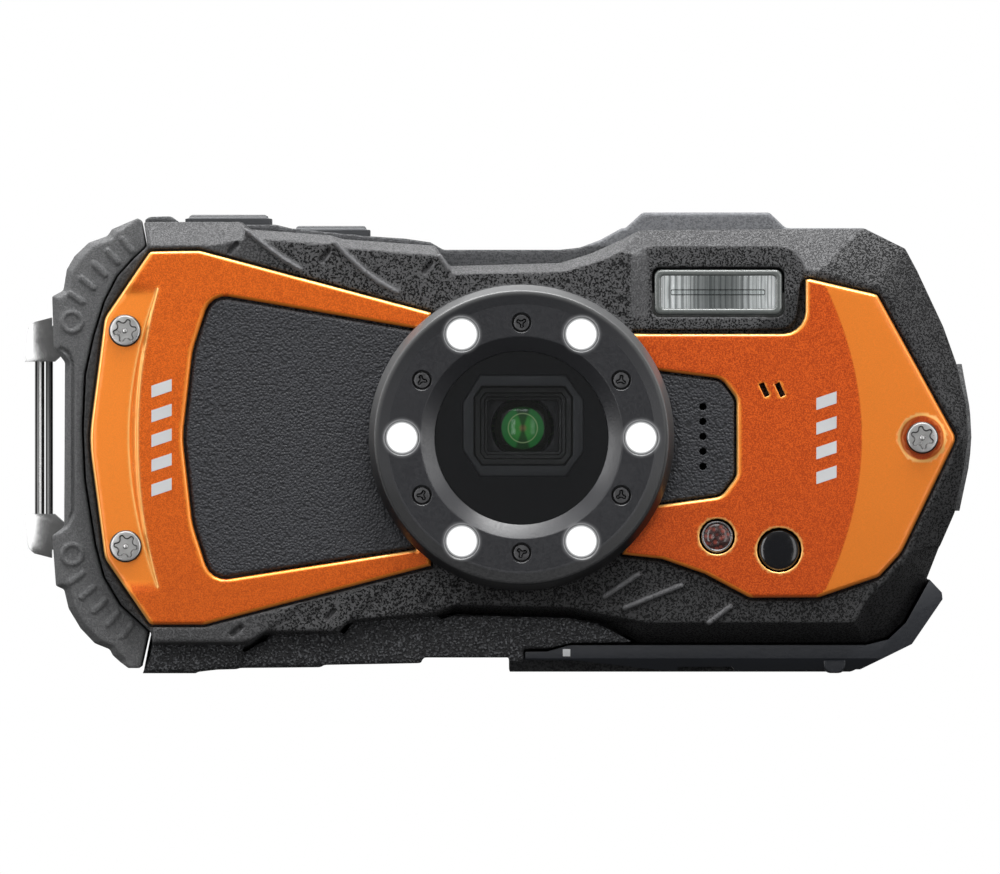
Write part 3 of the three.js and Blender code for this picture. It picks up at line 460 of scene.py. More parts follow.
def finished(thing, material, slot, body="root", replaces=()):
    """Gives a piece its material and lets it ride on a body; the slot is not used."""
    thing.data.materials.clear()
    thing.data.materials.append(material)
    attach(thing, body)
    if replaces:
        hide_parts(*replaces)
    return thing


# ---------------------------------------------------------------- materials


def toned(colour, share):
    """A colour made darker, or lighter for a share above 1."""
    return tuple(c * share for c in colour)


class Finish:
    """A procedural material, with textures measured in millimetres on the piece."""

    def __init__(self, name, colour, roughness, **sockets):
        self.material = bpy.data.materials.new(name)
        self.material.use_nodes = True
        self.nodes, self.links = self.material.node_tree.nodes, self.material.node_tree.links
        self.shader = self.nodes["Principled BSDF"]
        self.shader.inputs["Base Color"].default_value = (*colour, 1)
        self.shader.inputs["Roughness"].default_value = roughness
        for socket, value in sockets.items():
            self.shader.inputs[socket.replace("_", " ").title().replace("Ior", "IOR")].default_value = value
        place = self.node("ShaderNodeTexCoord")
        scaled = self.node("ShaderNodeVectorMath", operation="SCALE")
        scaled.inputs["Scale"].default_value = 1 / MM
        self.link(place.outputs["Object"], scaled.inputs[0])
        self.place, self.normal = scaled.outputs[0], place.outputs["Normal"]
        self.height = None

    def node(self, kind, **settings):
        made_node = self.nodes.new(kind)
        for setting, value in settings.items():
            setattr(made_node, setting, value)
        return made_node

    def link(self, output, socket):
        self.links.new(output, socket)

    def put(self, socket, value):
        if isinstance(value, bpy.types.NodeSocket):
            self.link(value, socket)
        else:
            socket.default_value = value

    def noise(self, size, detail=2.0, roughness=0.5, stretch=None):
        """Noise from 0 to 1 with features of that size."""
        texture = self.node("ShaderNodeTexNoise")
        texture.inputs["Scale"].default_value = 1 / size
        texture.inputs["Detail"].default_value = detail
        texture.inputs["Roughness"].default_value = roughness
        self.link(self.stretched(stretch) if stretch else self.place, texture.inputs["Vector"])
        return texture.outputs["Fac"]

    def cells(self, size, feature="F1"):
        texture = self.node("ShaderNodeTexVoronoi", feature=feature)
        texture.inputs["Scale"].default_value = 1 / size
        self.link(self.place, texture.inputs["Vector"])
        return texture.outputs["Distance"]

    def stretched(self, stretch):
        change = self.node("ShaderNodeVectorMath", operation="MULTIPLY")
        change.inputs[1].default_value = stretch
        self.link(self.place, change.inputs[0])
        return change.outputs[0]

    def axis(self, name, source=None):
        parts = self.node("ShaderNodeSeparateXYZ")
        self.link(source or self.place, parts.inputs[0])
        return parts.outputs[name]

    def between(self, value, low, high, to_low=0.0, to_high=1.0):
        """Maps low..high smoothly to to_low..to_high, clamped."""
        change = self.node("ShaderNodeMapRange", interpolation_type="SMOOTHSTEP")
        self.put(change.inputs["Value"], value)
        for socket, number in zip(("From Min", "From Max", "To Min", "To Max"), (low, high, to_low, to_high)):
            change.inputs[socket].default_value = number
        return change.outputs["Result"]

    def sum(self, operation, first, second=0.0):
        change = self.node("ShaderNodeMath", operation=operation)
        self.put(change.inputs[0], first)
        self.put(change.inputs[1], second)
        return change.outputs[0]

    def times(self, first, second):
        return self.sum("MULTIPLY", first, second)

    def minus(self, first, second):
        return self.sum("SUBTRACT", first, second)

    def most(self, first, second):
        return self.sum("MAXIMUM", first, second)

    def size(self, value):
        return self.sum("ABSOLUTE", value)

    def mixed(self, share, first, second):
        """A colour between two colours."""
        change = self.node("ShaderNodeMix", data_type="RGBA")
        self.put(change.inputs["Factor"], share)
        for socket, value in ((change.inputs[6], first), (change.inputs[7], second)):
            self.put(socket, (*value, 1) if isinstance(value, tuple) else value)
        return change.outputs[2]

    def window(self, left, right, low, high, soft):
        """1 inside a rectangle seen from the front, 0 outside it."""
        share = 1.0
        for axis, first, last in (("X", left, right), ("Z", low, high)):
            place = self.axis(axis)
            share = self.times(share, self.between(place, first - soft, first + soft))
            share = self.times(share, self.between(place, last - soft, last + soft, 1.0, 0.0))
        return share

    def from_ring(self):
        """A point's place seen from the front, as x, z and distance from the middle of the ring."""
        x, z = self.minus(self.axis("X"), RING_X), self.minus(self.axis("Z"), RING_Z)
        return x, z, self.length(x, z)

    def from_lights(self):
        """How far a point is, seen from the front, from the nearest light of the ring."""
        x, z, reach = self.from_ring()
        turn, sixth = self.sum("ARCTAN2", z, x), math.pi / 3
        nearest = self.times(self.sum("ROUND", self.sum("DIVIDE", turn, sixth)), sixth)
        off = self.minus(turn, nearest)
        along = self.minus(self.times(reach, self.sum("COSINE", off)), LIGHT_CIRCLE)
        return self.length(along, self.times(reach, self.sum("SINE", off)))

    def length(self, x, z):
        return self.sum("SQRT", self.sum("ADD", self.times(x, x), self.times(z, z)))

    def ridge(self):
        """How close a point is to the lines that marked() stored, from 0 to 1.

        The finishes paint highlights and dark outlines there.
        """
        return self.node("ShaderNodeAttribute", attribute_name="ridge").outputs["Fac"]

    def mottled(self, base):
        return self.mixed(self.noise(7.0, 3.0), toned(base, 0.85), toned(base, 1.2))

    def satin(self, grain, roughness):
        """Roughness that wavers a little with the grain."""
        return self.roughness(self.between(grain, 0.3, 0.7, roughness - 0.06, roughness + 0.08))

    def glow(self, value, strength):
        self.link(value, self.shader.inputs["Emission Color"])
        self.shader.inputs["Emission Strength"].default_value = strength
        return self

    def colour(self, value):
        self.link(value, self.shader.inputs["Base Color"])
        return self

    def roughness(self, value):
        self.link(value, self.shader.inputs["Roughness"])
        return self

    def bump(self, height, depth, strength=1.0):
        """Adds a bump of that depth; later ones go on top of earlier ones."""
        change = self.node("ShaderNodeBump")
        change.inputs["Distance"].default_value = depth * MM
        change.inputs["Strength"].default_value = strength
        self.link(height, change.inputs["Height"])
        if self.height:
            self.link(self.height, change.inputs["Normal"])
        self.height = change.outputs["Normal"]
        self.link(self.height, self.shader.inputs["Normal"])
        return self


def gritty(name, base, painted_shade, roughness, size, pits=1.0, depth=0.15, hump=0.0, leather=0.0, front=False):
    """Moulded plastic with a spark-eroded grain; its pits are painted dark, as painted shade, are left out
    on most faces that point up, and fade out towards the grip.

    Painted shade darkens it downwards and painted highlights lighten it on the marked ridges. The pitted
    faces are painted paler than the faces that point up, as painted light. With hump the hump on top is
    that many times paler, a painted highlight, and with leather the lip below the front shell has a coarse
    grain whose creases are painted dark as painted shade. On the front shell the parts without pits are
    paler, both cheeks are painted darker as painted shade and the chamfer beside the flash is painted pale
    as painted light.
    """
    look = Finish(name, base, roughness, specular_ior_level=0.4)
    coarse = look.noise(size, 2.0, 0.6)
    fine = look.noise(size * 0.5, 1.5, 0.6)
    holes = look.between(coarse, 0.455, 0.50, 1.0, 0.0)
    ridge = look.ridge()
    along = look.between(look.axis("X"), -36.0, -27.0, 0.12, 1.0)
    facet_lean, facet_start, facet_end = 1.09, -16.3, -15.4
    facet = look.minus(look.axis("X"), look.times(look.axis("Z"), facet_lean))
    facet = look.between(facet, facet_start, facet_end)
    up = look.between(look.axis("Z", look.normal), 0.10, 0.26, 1.0, 0.05)
    up = look.most(up, look.times(facet, 0.8))
    pitted = look.times(look.times(along, up), look.between(ridge, 0.2, 0.7, 1.0, 0.0))
    # painted light: the pitted faces are paler than the faces that point up
    ground = look.mixed(pitted, toned(base, 1.55 if front else 1.0), toned(base, 1.75))
    # painted highlight: the front slopes of the hump on top are paler
    top = look.times(look.between(look.axis("Z"), 57.0, 57.6), look.between(look.axis("X"), 8.0, 12.0))
    top = look.times(top, look.between(look.axis("Y", look.normal), -0.55, -0.1, 1.0, 0.0))
    if hump:
        ground = look.mixed(top, ground, toned(base, hump))
    ground = look.mixed(look.between(fine, 0.45, 0.75, 0.0, 0.4), ground, toned(base, 2.4))
    # painted shade: darker towards the bottom, more so to the right
    lower = look.between(look.axis("Z"), 6.0, 44.0, 0.55, 0.0)
    lower = look.times(lower, look.between(look.axis("X"), -20.0, 22.0, 0.05, 1.0))
    # painted shade on both cheeks of the front shell
    if front:
        cheeks = look.most(look.times(facet, 0.6), look.between(look.axis("X"), -50.0, -47.2, 0.55, 0.0))
        lower = look.most(lower, cheeks)
    ground = look.mixed(lower, ground, painted_shade)
    # the pits of the grain are painted dark: painted shade
    ground = look.mixed(look.times(look.times(holes, pitted), pits), ground, painted_shade)
    # painted light: the chamfer beside the flash is pale
    if front:
        chamfer = look.window(17.7, 20.0, 47.6, 56.3, 0.3)
        ground = look.mixed(look.times(chamfer, 0.8), ground, toned(base, 2.4))
    # painted highlight along the marked ridges
    ground = look.mixed(look.between(ridge, 0.1, 0.9), ground, toned(base, 3.4))
    lip = look.times(look.between(look.axis("Y"), FACE + 3.8, FACE + 4.2, 1.0, 0.0),
                     look.between(look.axis("Z"), 8.0, 8.6, leather, 0.0))
    creases = look.times(look.between(look.cells(0.34, "SMOOTH_F1"), 0.22, 0.5), lip)
    ground = look.mixed(lip, ground, toned(base, 3.2))
    # the creases of the lip's coarse grain are painted dark: painted shade
    look.colour(look.mixed(creases, ground, painted_shade))
    look.roughness(look.between(holes, 0.0, 1.0, roughness, 0.95))
    look.bump(look.times(holes, -1.0), depth * pits).bump(fine, 0.05)
    look.bump(look.times(creases, -1.0), 0.35)
    return look.material


def moulded_plastic(name, base, roughness, size=0.25, depth=0.02, **sockets):
    """Smooth moulded plastic with a faint grain and a little colour variation."""
    look = Finish(name, base, roughness, **sockets)
    grain = look.noise(size, 2.0, 0.6)
    look.colour(look.mottled(base))
    look.satin(grain, roughness)
    look.bump(grain, depth)
    return look.material


def leathery(name, base, roughness, size, depth):
    """Rubber with a leather grain: small raised islands between creases."""
    look = Finish(name, base, roughness, specular_ior_level=0.35)
    warp = look.noise(size * 2.2, 2.0)
    islands = look.cells(size, "SMOOTH_F1")
    fine = look.noise(size * 0.5, 2.0, 0.6)
    look.colour(look.mixed(look.between(islands, 0.25, 0.75), toned(base, 1.3), toned(base, 0.6)))
    look.satin(fine, roughness)
    look.bump(look.sum("ADD", look.between(islands, 0.1, 0.8, 1.0, 0.0), look.times(warp, 0.6)), depth)
    look.bump(fine, depth * 0.4)
    return look.material


def metallic_paint(name):
    """Orange metallic paint under a clear coat; its flakes vary its tone.

    It is painted paler on the left plate, and darker towards the bottom and inside the screw's dish, as
    painted light and shade. Where the plate slopes sideways it has a painted highlight, and over the edges
    that face the light and along the marked lines a painted yellow highlight.
    """
    # base is the paint's colour; lit and thin are colours of painted highlights
    base, lit, thin = (0.86, 0.125, 0.006), (1.0, 0.30, 0.024), (1.0, 0.58, 0.18)
    look = Finish(name, base, 0.34, metallic=0.6, coat_weight=0.5, coat_roughness=0.14)
    flakes = look.noise(0.15, 1.0, 0.5)
    # painted light: the flakes' shades are paler on the left plate than on the right
    side = look.between(look.axis("X"), -25.0, 25.0)
    dark = look.mixed(side, (0.72, 0.110, 0.005), (0.62, 0.070, 0.005))
    pale = look.mixed(side, (0.99, 0.190, 0.009), (0.92, 0.145, 0.010))
    shade = look.mixed(look.between(flakes, 0.3, 0.72), dark, pale)
    # painted shade: darker towards the bottom
    shade = look.mixed(look.between(look.axis("Z"), 8.0, 34.0, 0.22, 0.0), shade, (0.42, 0.050, 0.004))
    # painted highlight: paler where the plate slopes sideways
    sideways = look.size(look.axis("X", look.normal))
    shade = look.mixed(look.between(sideways, 0.02, 0.065, 0.0, 0.72), shade, lit)
    # painted highlight: yellow over the edges that face the light, left out round the grip inlay
    edge = look.between(look.axis("Y", look.normal), -0.96, -0.75, 0.0, 0.85)
    to_light = look.minus(look.times(look.axis("Z", look.normal), 0.8),
                          look.times(look.axis("X", look.normal), 0.6))
    edge = look.times(edge, look.between(to_light, -0.15, 0.1, 0.15, 1.0))
    low, high = span("grip_inlay")
    taper = look.times(look.minus(look.axis("X"), low.x), 0.183)
    away = look.size(look.minus(look.axis("Z"), (low.z + high.z) / 2))
    beside = look.between(look.sum("ADD", away, taper), 20.3, 20.8, 1.0, 0.0)
    beside = look.times(beside, look.window(low.x - 1.3, high.x + 2.0, low.z - 3.0, high.z + 3.0, 0.3))
    edge = look.times(edge, look.between(beside, 0.0, 1.0, 1.0, 0.12))
    # painted shade inside the dish round the screw
    screw = middle("plate_screw_3")
    reach = look.length(look.minus(look.axis("X"), screw.x), look.minus(look.axis("Z"), screw.z))
    shade = look.mixed(look.between(reach, 2.75, 3.0, 0.6, 0.0), shade, (0.36, 0.04, 0.004))
    # painted highlight along the lines that marked() stored
    ridge = look.ridge()
    look.colour(look.mixed(look.most(edge, look.between(ridge, 0.1, 0.9, 0.0, 0.8)), shade, thin))
    look.roughness(look.between(flakes, 0.35, 0.65, 0.30, 0.44))
    look.bump(flakes, 0.005)
    return look.material


def brushed_metal(name, base, roughness, size=0.3, depth=0.006, wear_share=0.3, edge=None):
    """Metal with faint wear, its marked lines painted dark as a painted dark reflection.

    With edge, the parts that face none of the named axes are painted dark as a painted dark reflection:
    rounded edges with "XYZ", all but the front and the back with "Y".
    """
    look = Finish(name, base, roughness, metallic=1.0)
    wear = look.noise(size, 3.0, 0.6)
    shade = look.mixed(look.noise(3.0, 2.0), toned(base, 0.88), base)
    # painted dark reflection on the parts that face none of the named axes
    if edge:
        axes = [look.size(look.axis(axis, look.normal)) for axis in edge]
        square = axes[0]
        for other in axes[1:]:
            square = look.most(square, other)
        shade = look.mixed(look.between(square, 0.84, 0.97), toned(base, 0.07), shade)
    # painted dark reflection along the lines that marked() stored
    ridge = look.ridge()
    look.colour(look.mixed(look.between(ridge, 0.0, 1.0, 0.0, 0.85), shade, toned(base, 0.05)))
    look.roughness(look.between(wear, 0.3, 0.7, roughness * (1 - wear_share), roughness * (1 + wear_share)))
    look.bump(wear, depth)
    return look.material


def see_through(name, tint, rim, ior=1.46):
    """A clear pane: it passes light and mirrors a little of the room."""
    look = Finish(name, tint, 0.03)
    clear, gloss = look.node("ShaderNodeBsdfTransparent"), look.node("ShaderNodeBsdfGlossy")
    haze = look.noise(1.6, 2.0)
    look.link(look.mixed(look.between(haze, 0.3, 0.7, 0.0, 0.12), tint, rim), clear.inputs["Color"])
    gloss.inputs["Roughness"].default_value = 0.04
    fresnel = look.node("ShaderNodeFresnel")
    fresnel.inputs["IOR"].default_value = ior
    both = look.node("ShaderNodeMixShader")
    look.link(fresnel.outputs[0], both.inputs[0])
    look.link(clear.outputs[0], both.inputs[1])
    look.link(gloss.outputs[0], both.inputs[2])
    look.link(both.outputs[0], look.nodes["Material Output"].inputs["Surface"])
    return look.material


def glowing(name):
    """White light guides, brightest in the middle of each dome."""
    look = Finish(name, (0.9, 0.92, 0.95), 0.25)
    bright = look.between(look.from_lights(), 1.35, 2.5, 1.0, 0.0)
    bright = look.times(bright, bright)
    look.glow(look.mixed(bright, (0.02, 0.021, 0.022), (1.0, 1.0, 1.0)), 3.0)
    look.colour(look.mixed(bright, (0.03, 0.031, 0.032), (0.9, 0.92, 0.95)))
    look.bump(look.noise(0.5, 1.0), 0.004)
    return look.material


def ring_plastic(name, base, roughness):
    """Satin black plastic with a painted glow round each light and a crest in painted light and shade."""
    look = Finish(name, base, roughness, coat_weight=0.3, coat_roughness=0.25)
    grain = look.noise(0.30, 2.0, 0.6)
    plain = look.mottled(base)
    _, z, reach = look.from_ring()
    # painted light and shade on the crest: pale grey at the top, dark at the bottom and on the inner slope
    # below
    below = look.between(z, -9.0, 0.0, 1.0, 0.0)
    below = look.times(below, look.between(reach, RING_RADIUS - 2.5, RING_RADIUS - 2.2))
    crest = look.most(below, look.between(reach, RING_RADIUS - 1.5, RING_RADIUS - 1.0))
    outer = look.mixed(look.between(z, -9.0, 9.0), toned(base, 0.3), (0.088, 0.089, 0.090))
    look.colour(look.mixed(crest, plain, outer))
    look.satin(grain, roughness)
    # painted glow round each light, on the front only
    front = look.between(look.axis("Y"), RING_FRONT + 1.2, RING_FRONT + 1.6, 1.0, 0.0)
    painted_halo = look.times(look.between(look.from_lights(), 2.2, 3.0, 1.0, 0.0), front)
    look.glow(look.mixed(look.times(painted_halo, painted_halo), (0.0, 0.0, 0.0), (0.15, 0.151, 0.155)), 1.0)
    look.bump(grain, 0.012)
    return look.material


def flash_silver(name):
    """The flash reflector: streaky silver; its pale ends, darker middle and glow are painted light."""
    low, high = span("flash_reflector")
    look = Finish(name, (0.8, 0.8, 0.8), 0.32, metallic=0.35)
    # painted reflection: pale at both ends and darker in the middle
    from_middle = look.size(look.minus(look.axis("X"), (low.x + high.x) / 2))
    ends = look.between(from_middle, 1.0, 6.4)
    streaks = look.between(look.noise(0.42, 2.0, stretch=(1, 0, 0)), 0.38, 0.62)
    shade = look.mixed(ends, (0.26, 0.27, 0.27), (0.96, 0.97, 0.97))
    shade = look.mixed(look.between(streaks, 0.0, 1.0, 0.75, 0.0), shade, (0.10, 0.11, 0.11))
    # the reflector glows with its own colour: painted light
    look.colour(shade).glow(shade, 0.42)
    look.roughness(look.between(streaks, 0.0, 1.0, 0.22, 0.4))
    return look.material


def circuit(name):
    """A green circuit board with paler tracks."""
    look = Finish(name, (0.02, 0.11, 0.04), 0.45)
    tracks = look.cells(1.1, "DISTANCE_TO_EDGE")
    look.colour(look.mixed(look.between(tracks, 0.03, 0.08), (0.10, 0.26, 0.08), (0.015, 0.09, 0.03)))
    look.roughness(look.between(look.noise(0.5), 0.3, 0.7, 0.3, 0.55))
    look.bump(tracks, 0.03)
    return look.material


def cell_wrap(name):
    """Printed wrap of the battery and the flash capacitor."""
    look = Finish(name, (0.04, 0.045, 0.06), 0.4)
    bands = look.between(look.axis("Z"), 12.0, 12.4)
    grain = look.noise(0.4, 2.0)
    look.colour(look.mixed(bands, (0.10, 0.11, 0.14), (0.03, 0.034, 0.05)))
    look.roughness(look.between(grain, 0.3, 0.7, 0.32, 0.48))
    look.bump(grain, 0.01)
    return look.material


def screen_glass(name):
    """The screen's window: a black border round a dark panel that shows faintly."""
    look = Finish(name, (0.01, 0.011, 0.013), 0.06, coat_weight=0.6, coat_roughness=0.03)
    low, high = span("lcd_module")
    smear = look.noise(12.0, 3.0)
    panel = look.mixed(smear, (0.022, 0.025, 0.030), (0.034, 0.037, 0.042))
    share = look.window(low.x + 2, high.x - 2, low.z + 1.5, high.z - 1.5, 0.1)
    look.colour(look.mixed(share, (0.006, 0.006, 0.007), panel))
    look.roughness(look.between(smear, 0.3, 0.7, 0.04, 0.11))
    return look.material


def mask_plastic(name, face, deep):
    """The lens mask: satin on its front face, and almost black in the steps down to the lens.

    The black of the steps is painted shade.
    """
    look = Finish(name, face, 0.5)
    grain = look.noise(0.3, 2.0, 0.6)
    front = span("lens_mask")[0].y
    # painted shade: the steps down to the lens are almost black
    sunk = look.between(look.axis("Y"), front + 0.12, front + 0.35)
    look.colour(look.mixed(sunk, look.mixed(grain, face, toned(face, 0.9)), deep))
    look.roughness(look.between(grain, 0.3, 0.7, 0.42, 0.55))
    look.bump(grain, 0.01)
    return look.material


def lens_coating(name):
    """A coated front element: green, with a gold middle.

    A pale ring and a dark wedge up and down are painted reflections, and it glows with its own colour as
    painted light.
    """
    coat = {"coat_weight": 0.2, "coat_roughness": 0.02}
    look = Finish(name, (0.02, 0.14, 0.03), 0.05, specular_ior_level=0.25, **coat)
    x, z = look.minus(look.axis("X"), LENS_X), look.minus(look.axis("Z"), LENS_Z)
    reach = look.length(x, z)
    shade = look.mixed(look.between(reach, 0.15, 0.7), (0.20, 0.15, 0.06), (0.045, 0.25, 0.045))
    shade = look.mixed(look.between(reach, 1.0, 2.3), shade, (0.015, 0.15, 0.03))
    # painted reflection: a dark wedge up and down
    wedge = look.minus(look.size(x), look.times(look.size(z), 0.34))
    shade = look.mixed(look.between(wedge, -0.15, 0.3, 0.75, 0.0), shade, (0.010, 0.014, 0.008))
    # painted reflection: a pale ring
    ring = look.between(look.size(look.minus(reach, 1.95)), 0.02, 0.12, 0.7, 0.0)
    shade = look.mixed(ring, shade, (0.30, 0.42, 0.20))
    shade = look.mixed(look.between(reach, 2.7, 2.95), shade, (0.006, 0.007, 0.005))
    # the lens glows with its own colour: painted light
    look.colour(shade).glow(shade, 0.35)
    look.roughness(look.between(look.noise(0.8), 0.3, 0.7, 0.03, 0.08))
    return look.material


def lamp_material():
    """The self-timer lamp: a dark reddish lens with facets inside."""
    look = Finish("lamp lens", (0.20, 0.03, 0.02), 0.12, coat_weight=1.0, coat_roughness=0.04)
    facets = look.cells(0.7, "F1")
    look.colour(look.mixed(look.between(facets, 0.2, 0.6), (0.24, 0.05, 0.035), (0.03, 0.008, 0.007)))
    look.roughness(look.between(facets, 0.2, 0.8, 0.08, 0.3))
    look.bump(facets, 0.12)
    return look.material


SHELL = gritty("shell black", (0.044, 0.044, 0.0455), (0.0022, 0.0022, 0.0026), 0.55, 0.25, front=True)
REAR = gritty("shell black, back", (0.040, 0.041, 0.0435), (0.006, 0.006, 0.007), 0.56, 0.30,
              pits=0.25, depth=0.10, hump=4.4, leather=0.9)
GUARD = gritty("guard black", (0.104, 0.105, 0.107), (0.060, 0.061, 0.062), 0.62, 0.30,
               pits=0.5, depth=0.08)
PAINT = metallic_paint("orange paint")
GRIP = leathery("grip rubber", (0.028, 0.029, 0.033), 0.50, 0.29, 0.09)
RING = ring_plastic("ring black", (0.0145, 0.015, 0.018), 0.36)
MASK = mask_plastic("lens mask", (0.042, 0.043, 0.047), (0.006, 0.0055, 0.0048))
DOOR = moulded_plastic("door black", (0.012, 0.014, 0.019), 0.40, 0.3, 0.02)
BUTTON = moulded_plastic("button black", (0.034, 0.036, 0.040), 0.45, 0.25, 0.015)
RED = moulded_plastic("button red", (0.36, 0.02, 0.015), 0.40, 0.25, 0.01)
MARK = moulded_plastic("printed marks", (0.62, 0.63, 0.64), 0.55, 0.2, 0.004)
STEEL = brushed_metal("polished steel", (0.50, 0.50, 0.50), 0.17, 0.8, 0.002, 0.15, "XYZ")
SCREW = brushed_metal("screw steel", (0.80, 0.79, 0.78), 0.30, 1.4, 0.001, 0.1, "Y")
DARK_SCREW = brushed_metal("dark screw", (0.15, 0.15, 0.155), 0.34, 0.9, 0.001, 0.15, "Y")
SHEET = brushed_metal("sheet metal", (0.55, 0.55, 0.54), 0.35, 0.6)
GOLD = brushed_metal("contacts", (0.83, 0.60, 0.22), 0.28, 0.4, 0.002)
CHROME = brushed_metal("reflector", (0.30, 0.30, 0.31), 0.30, 0.8, 0.002)
SILVER = flash_silver("flash silver")
FLASH_RIM = moulded_plastic("flash rim", (0.12, 0.13, 0.125), 0.22, 0.8, 0.01, coat_weight=1.0)
PANE = see_through("lens pane", (0.93, 0.94, 0.95), (0.86, 0.88, 0.90))
CLEAR = see_through("clear plastic", (0.96, 0.97, 0.97), (0.90, 0.92, 0.92))
SCREEN = screen_glass("screen glass")
DARK = moulded_plastic("dark window", (0.0045, 0.005, 0.007), 0.10, 0.6, 0.001, coat_weight=0.4)
COATED = lens_coating("coated lens")
LIGHT = glowing("light guide")
INNER = moulded_plastic("inner black", (0.012, 0.012, 0.013), 0.55, 0.3, 0.015)
RUBBER = moulded_plastic("seal rubber", (0.015, 0.015, 0.016), 0.75, 0.4, 0.02)
BOARD = circuit("circuit board")
WRAP = cell_wrap("cell wrap")
LAMP = lamp_material()


# ---------------------------------------------------------------- shells

LEFT_PLATE = section("front_plate_left", PLATE_BACK - 0.2)
RIGHT_PLATE = section("front_plate_right", PLATE_BACK - 0.2)
PLATE_POCKETS = [
    prism(grow(outlines[0], GAP), PLATE_BACK + GAP, IN_FRONT) for outlines in (LEFT_PLATE, RIGHT_PLATE)
]
RING_POCKET = prism(circle(RING_X, RING_Z, 19.3), FACE, IN_FRONT)

# The shell's overlapping scales. Each has its outer edge, as (x, z) at the shoulder and on the
# face, the crease that it ends at, and points on its way back under the plate.
TOP_SCALES = [
    (0.75, [(-46.6, 60.3, -46.6, 57.3), (-38.4, 60.3, -38.4, 57.3), (-34.5, 60.3, -34.0, 58.0)],
     [(-33.5, 59.2), (-32.4, 58.3), (-30.5, 56.8), (-28.5, 55.3), (-26.3, 54.0), (-25.2, 51.6)],
     [(-46.6, 50.0)]),
    (0.50, [(-31.5, 59.25, -31.3, 58.1), (-23.4, 58.6, -23.2, 57.45)],
     [(-21.7, 57.6), (-19.8, 55.6), (-17.8, 53.8), (-15.8, 52.3), (-13.4, 51.0), (-12.6, 48.6)],
     [(-32.0, 50.0)]),
    (0.25, [(-19.5, 57.9, -19.3, 56.8), (-9.6, 57.2, -9.3, 56.0)],
     [(-7.7, 55.8), (-6.5, 54.0), (-5.0, 51.0)], [(-5.5, 48.0), (-20.0, 48.0)]),
]
BOTTOM_SCALES = [
    (0.75, [(-46.2, 3.1, -46.2, 4.2), (-34.6, 3.2, -34.3, 4.2)],
     [(-32.6, 4.6), (-30.0, 6.2), (-26.0, 9.4), (-25.2, 12.0)], [(-46.2, 12.0)]),
    (0.50, [(-31.3, 4.6, -31.1, 5.7), (-22.6, 4.6, -22.4, 5.7)],
     [(-20.6, 6.3), (-18.4, 8.2), (-14.0, 12.4), (-13.2, 15.0)], [(-31.0, 15.0)]),
    (0.25, [(-19.5, 6.1, -19.3, 7.2), (-10.0, 6.95, -9.8, 8.1)],
     [(-7.4, 8.6), (-5.6, 11.5), (-4.8, 14.0)], [(-19.0, 14.0)]),
]
LIP_SCALES = [
    (0.75, [(-46.9, 0.1), (-40.5, 0.15), (-35.2, 0.75), (-34.6, 2.7), (-33.4, 4.2), (-46.3, 4.2)]),
    (0.50, [(-34.6, 0.8), (-24.0, 0.9), (-22.2, 4.0), (-21.0, 5.6), (-30.0, 5.6)]),
    (0.25, [(-23.4, 1.2), (-10.6, 1.45), (-8.9, 6.5), (-8.0, 7.6), (-19.0, 7.6)]),
]
SCALE_BEVEL = 0.34


def scale(height, edge, crease, way_back):
    """One scale: it stands proud of the face by height, with a bevel along its crease."""
    share = (FACE - SHOULDER) / (FACE - height - SHOULDER)
    inner = [(x - SCALE_BEVEL, z) for x, z in crease[:-1]] + [(crease[-1][0] - SCALE_BEVEL, crease[-1][1])]
    outer = [(x, z) for x, z, _, _ in edge]
    face = [(x, z) for _, _, x, z in edge]
    half_way = [(a + (c - a) * share, b + (d - b) * share) for (a, b), (c, d) in zip(outer, face)]
    return loft(
        (SHOULDER, outer + crease + way_back),
        (FACE, half_way + crease + way_back),
        (FACE - height, face + inner + way_back),
    )


def rib(start, end, level, half_width, height=0.3):
    """A thin raised line with a rounded back, standing on the surface at that depth."""
    return loft(
        (level + 0.4, capsule(start, end, half_width)),
        (level - height * 0.4, capsule(start, end, half_width * 0.85)),
        (level - height, capsule(start, end, half_width * 0.35)),
    )


def marked(thing, lines, half_width):
    """Stores how close each vertex of the front is to the lines, from 0 to 1, as its ridge.

    The finishes paint highlights and dark outlines along these lines.
    """
    mesh = thing.data
    points = np.empty(3 * len(mesh.vertices))
    mesh.vertices.foreach_get("co", points)
    points = points.reshape(-1, 3) / MM
    away = np.min([distance_to(points[:, ::2], [*line, *line[-2:0:-1]]) for line in lines], 0)
    share = np.clip(1.6 - away / half_width, 0, 1) * (points[:, 1] < FACE + 0.5)
    mesh.attributes.new("ridge", "FLOAT", "POINT").data.foreach_set("value", share.astype(np.float32))
    return thing


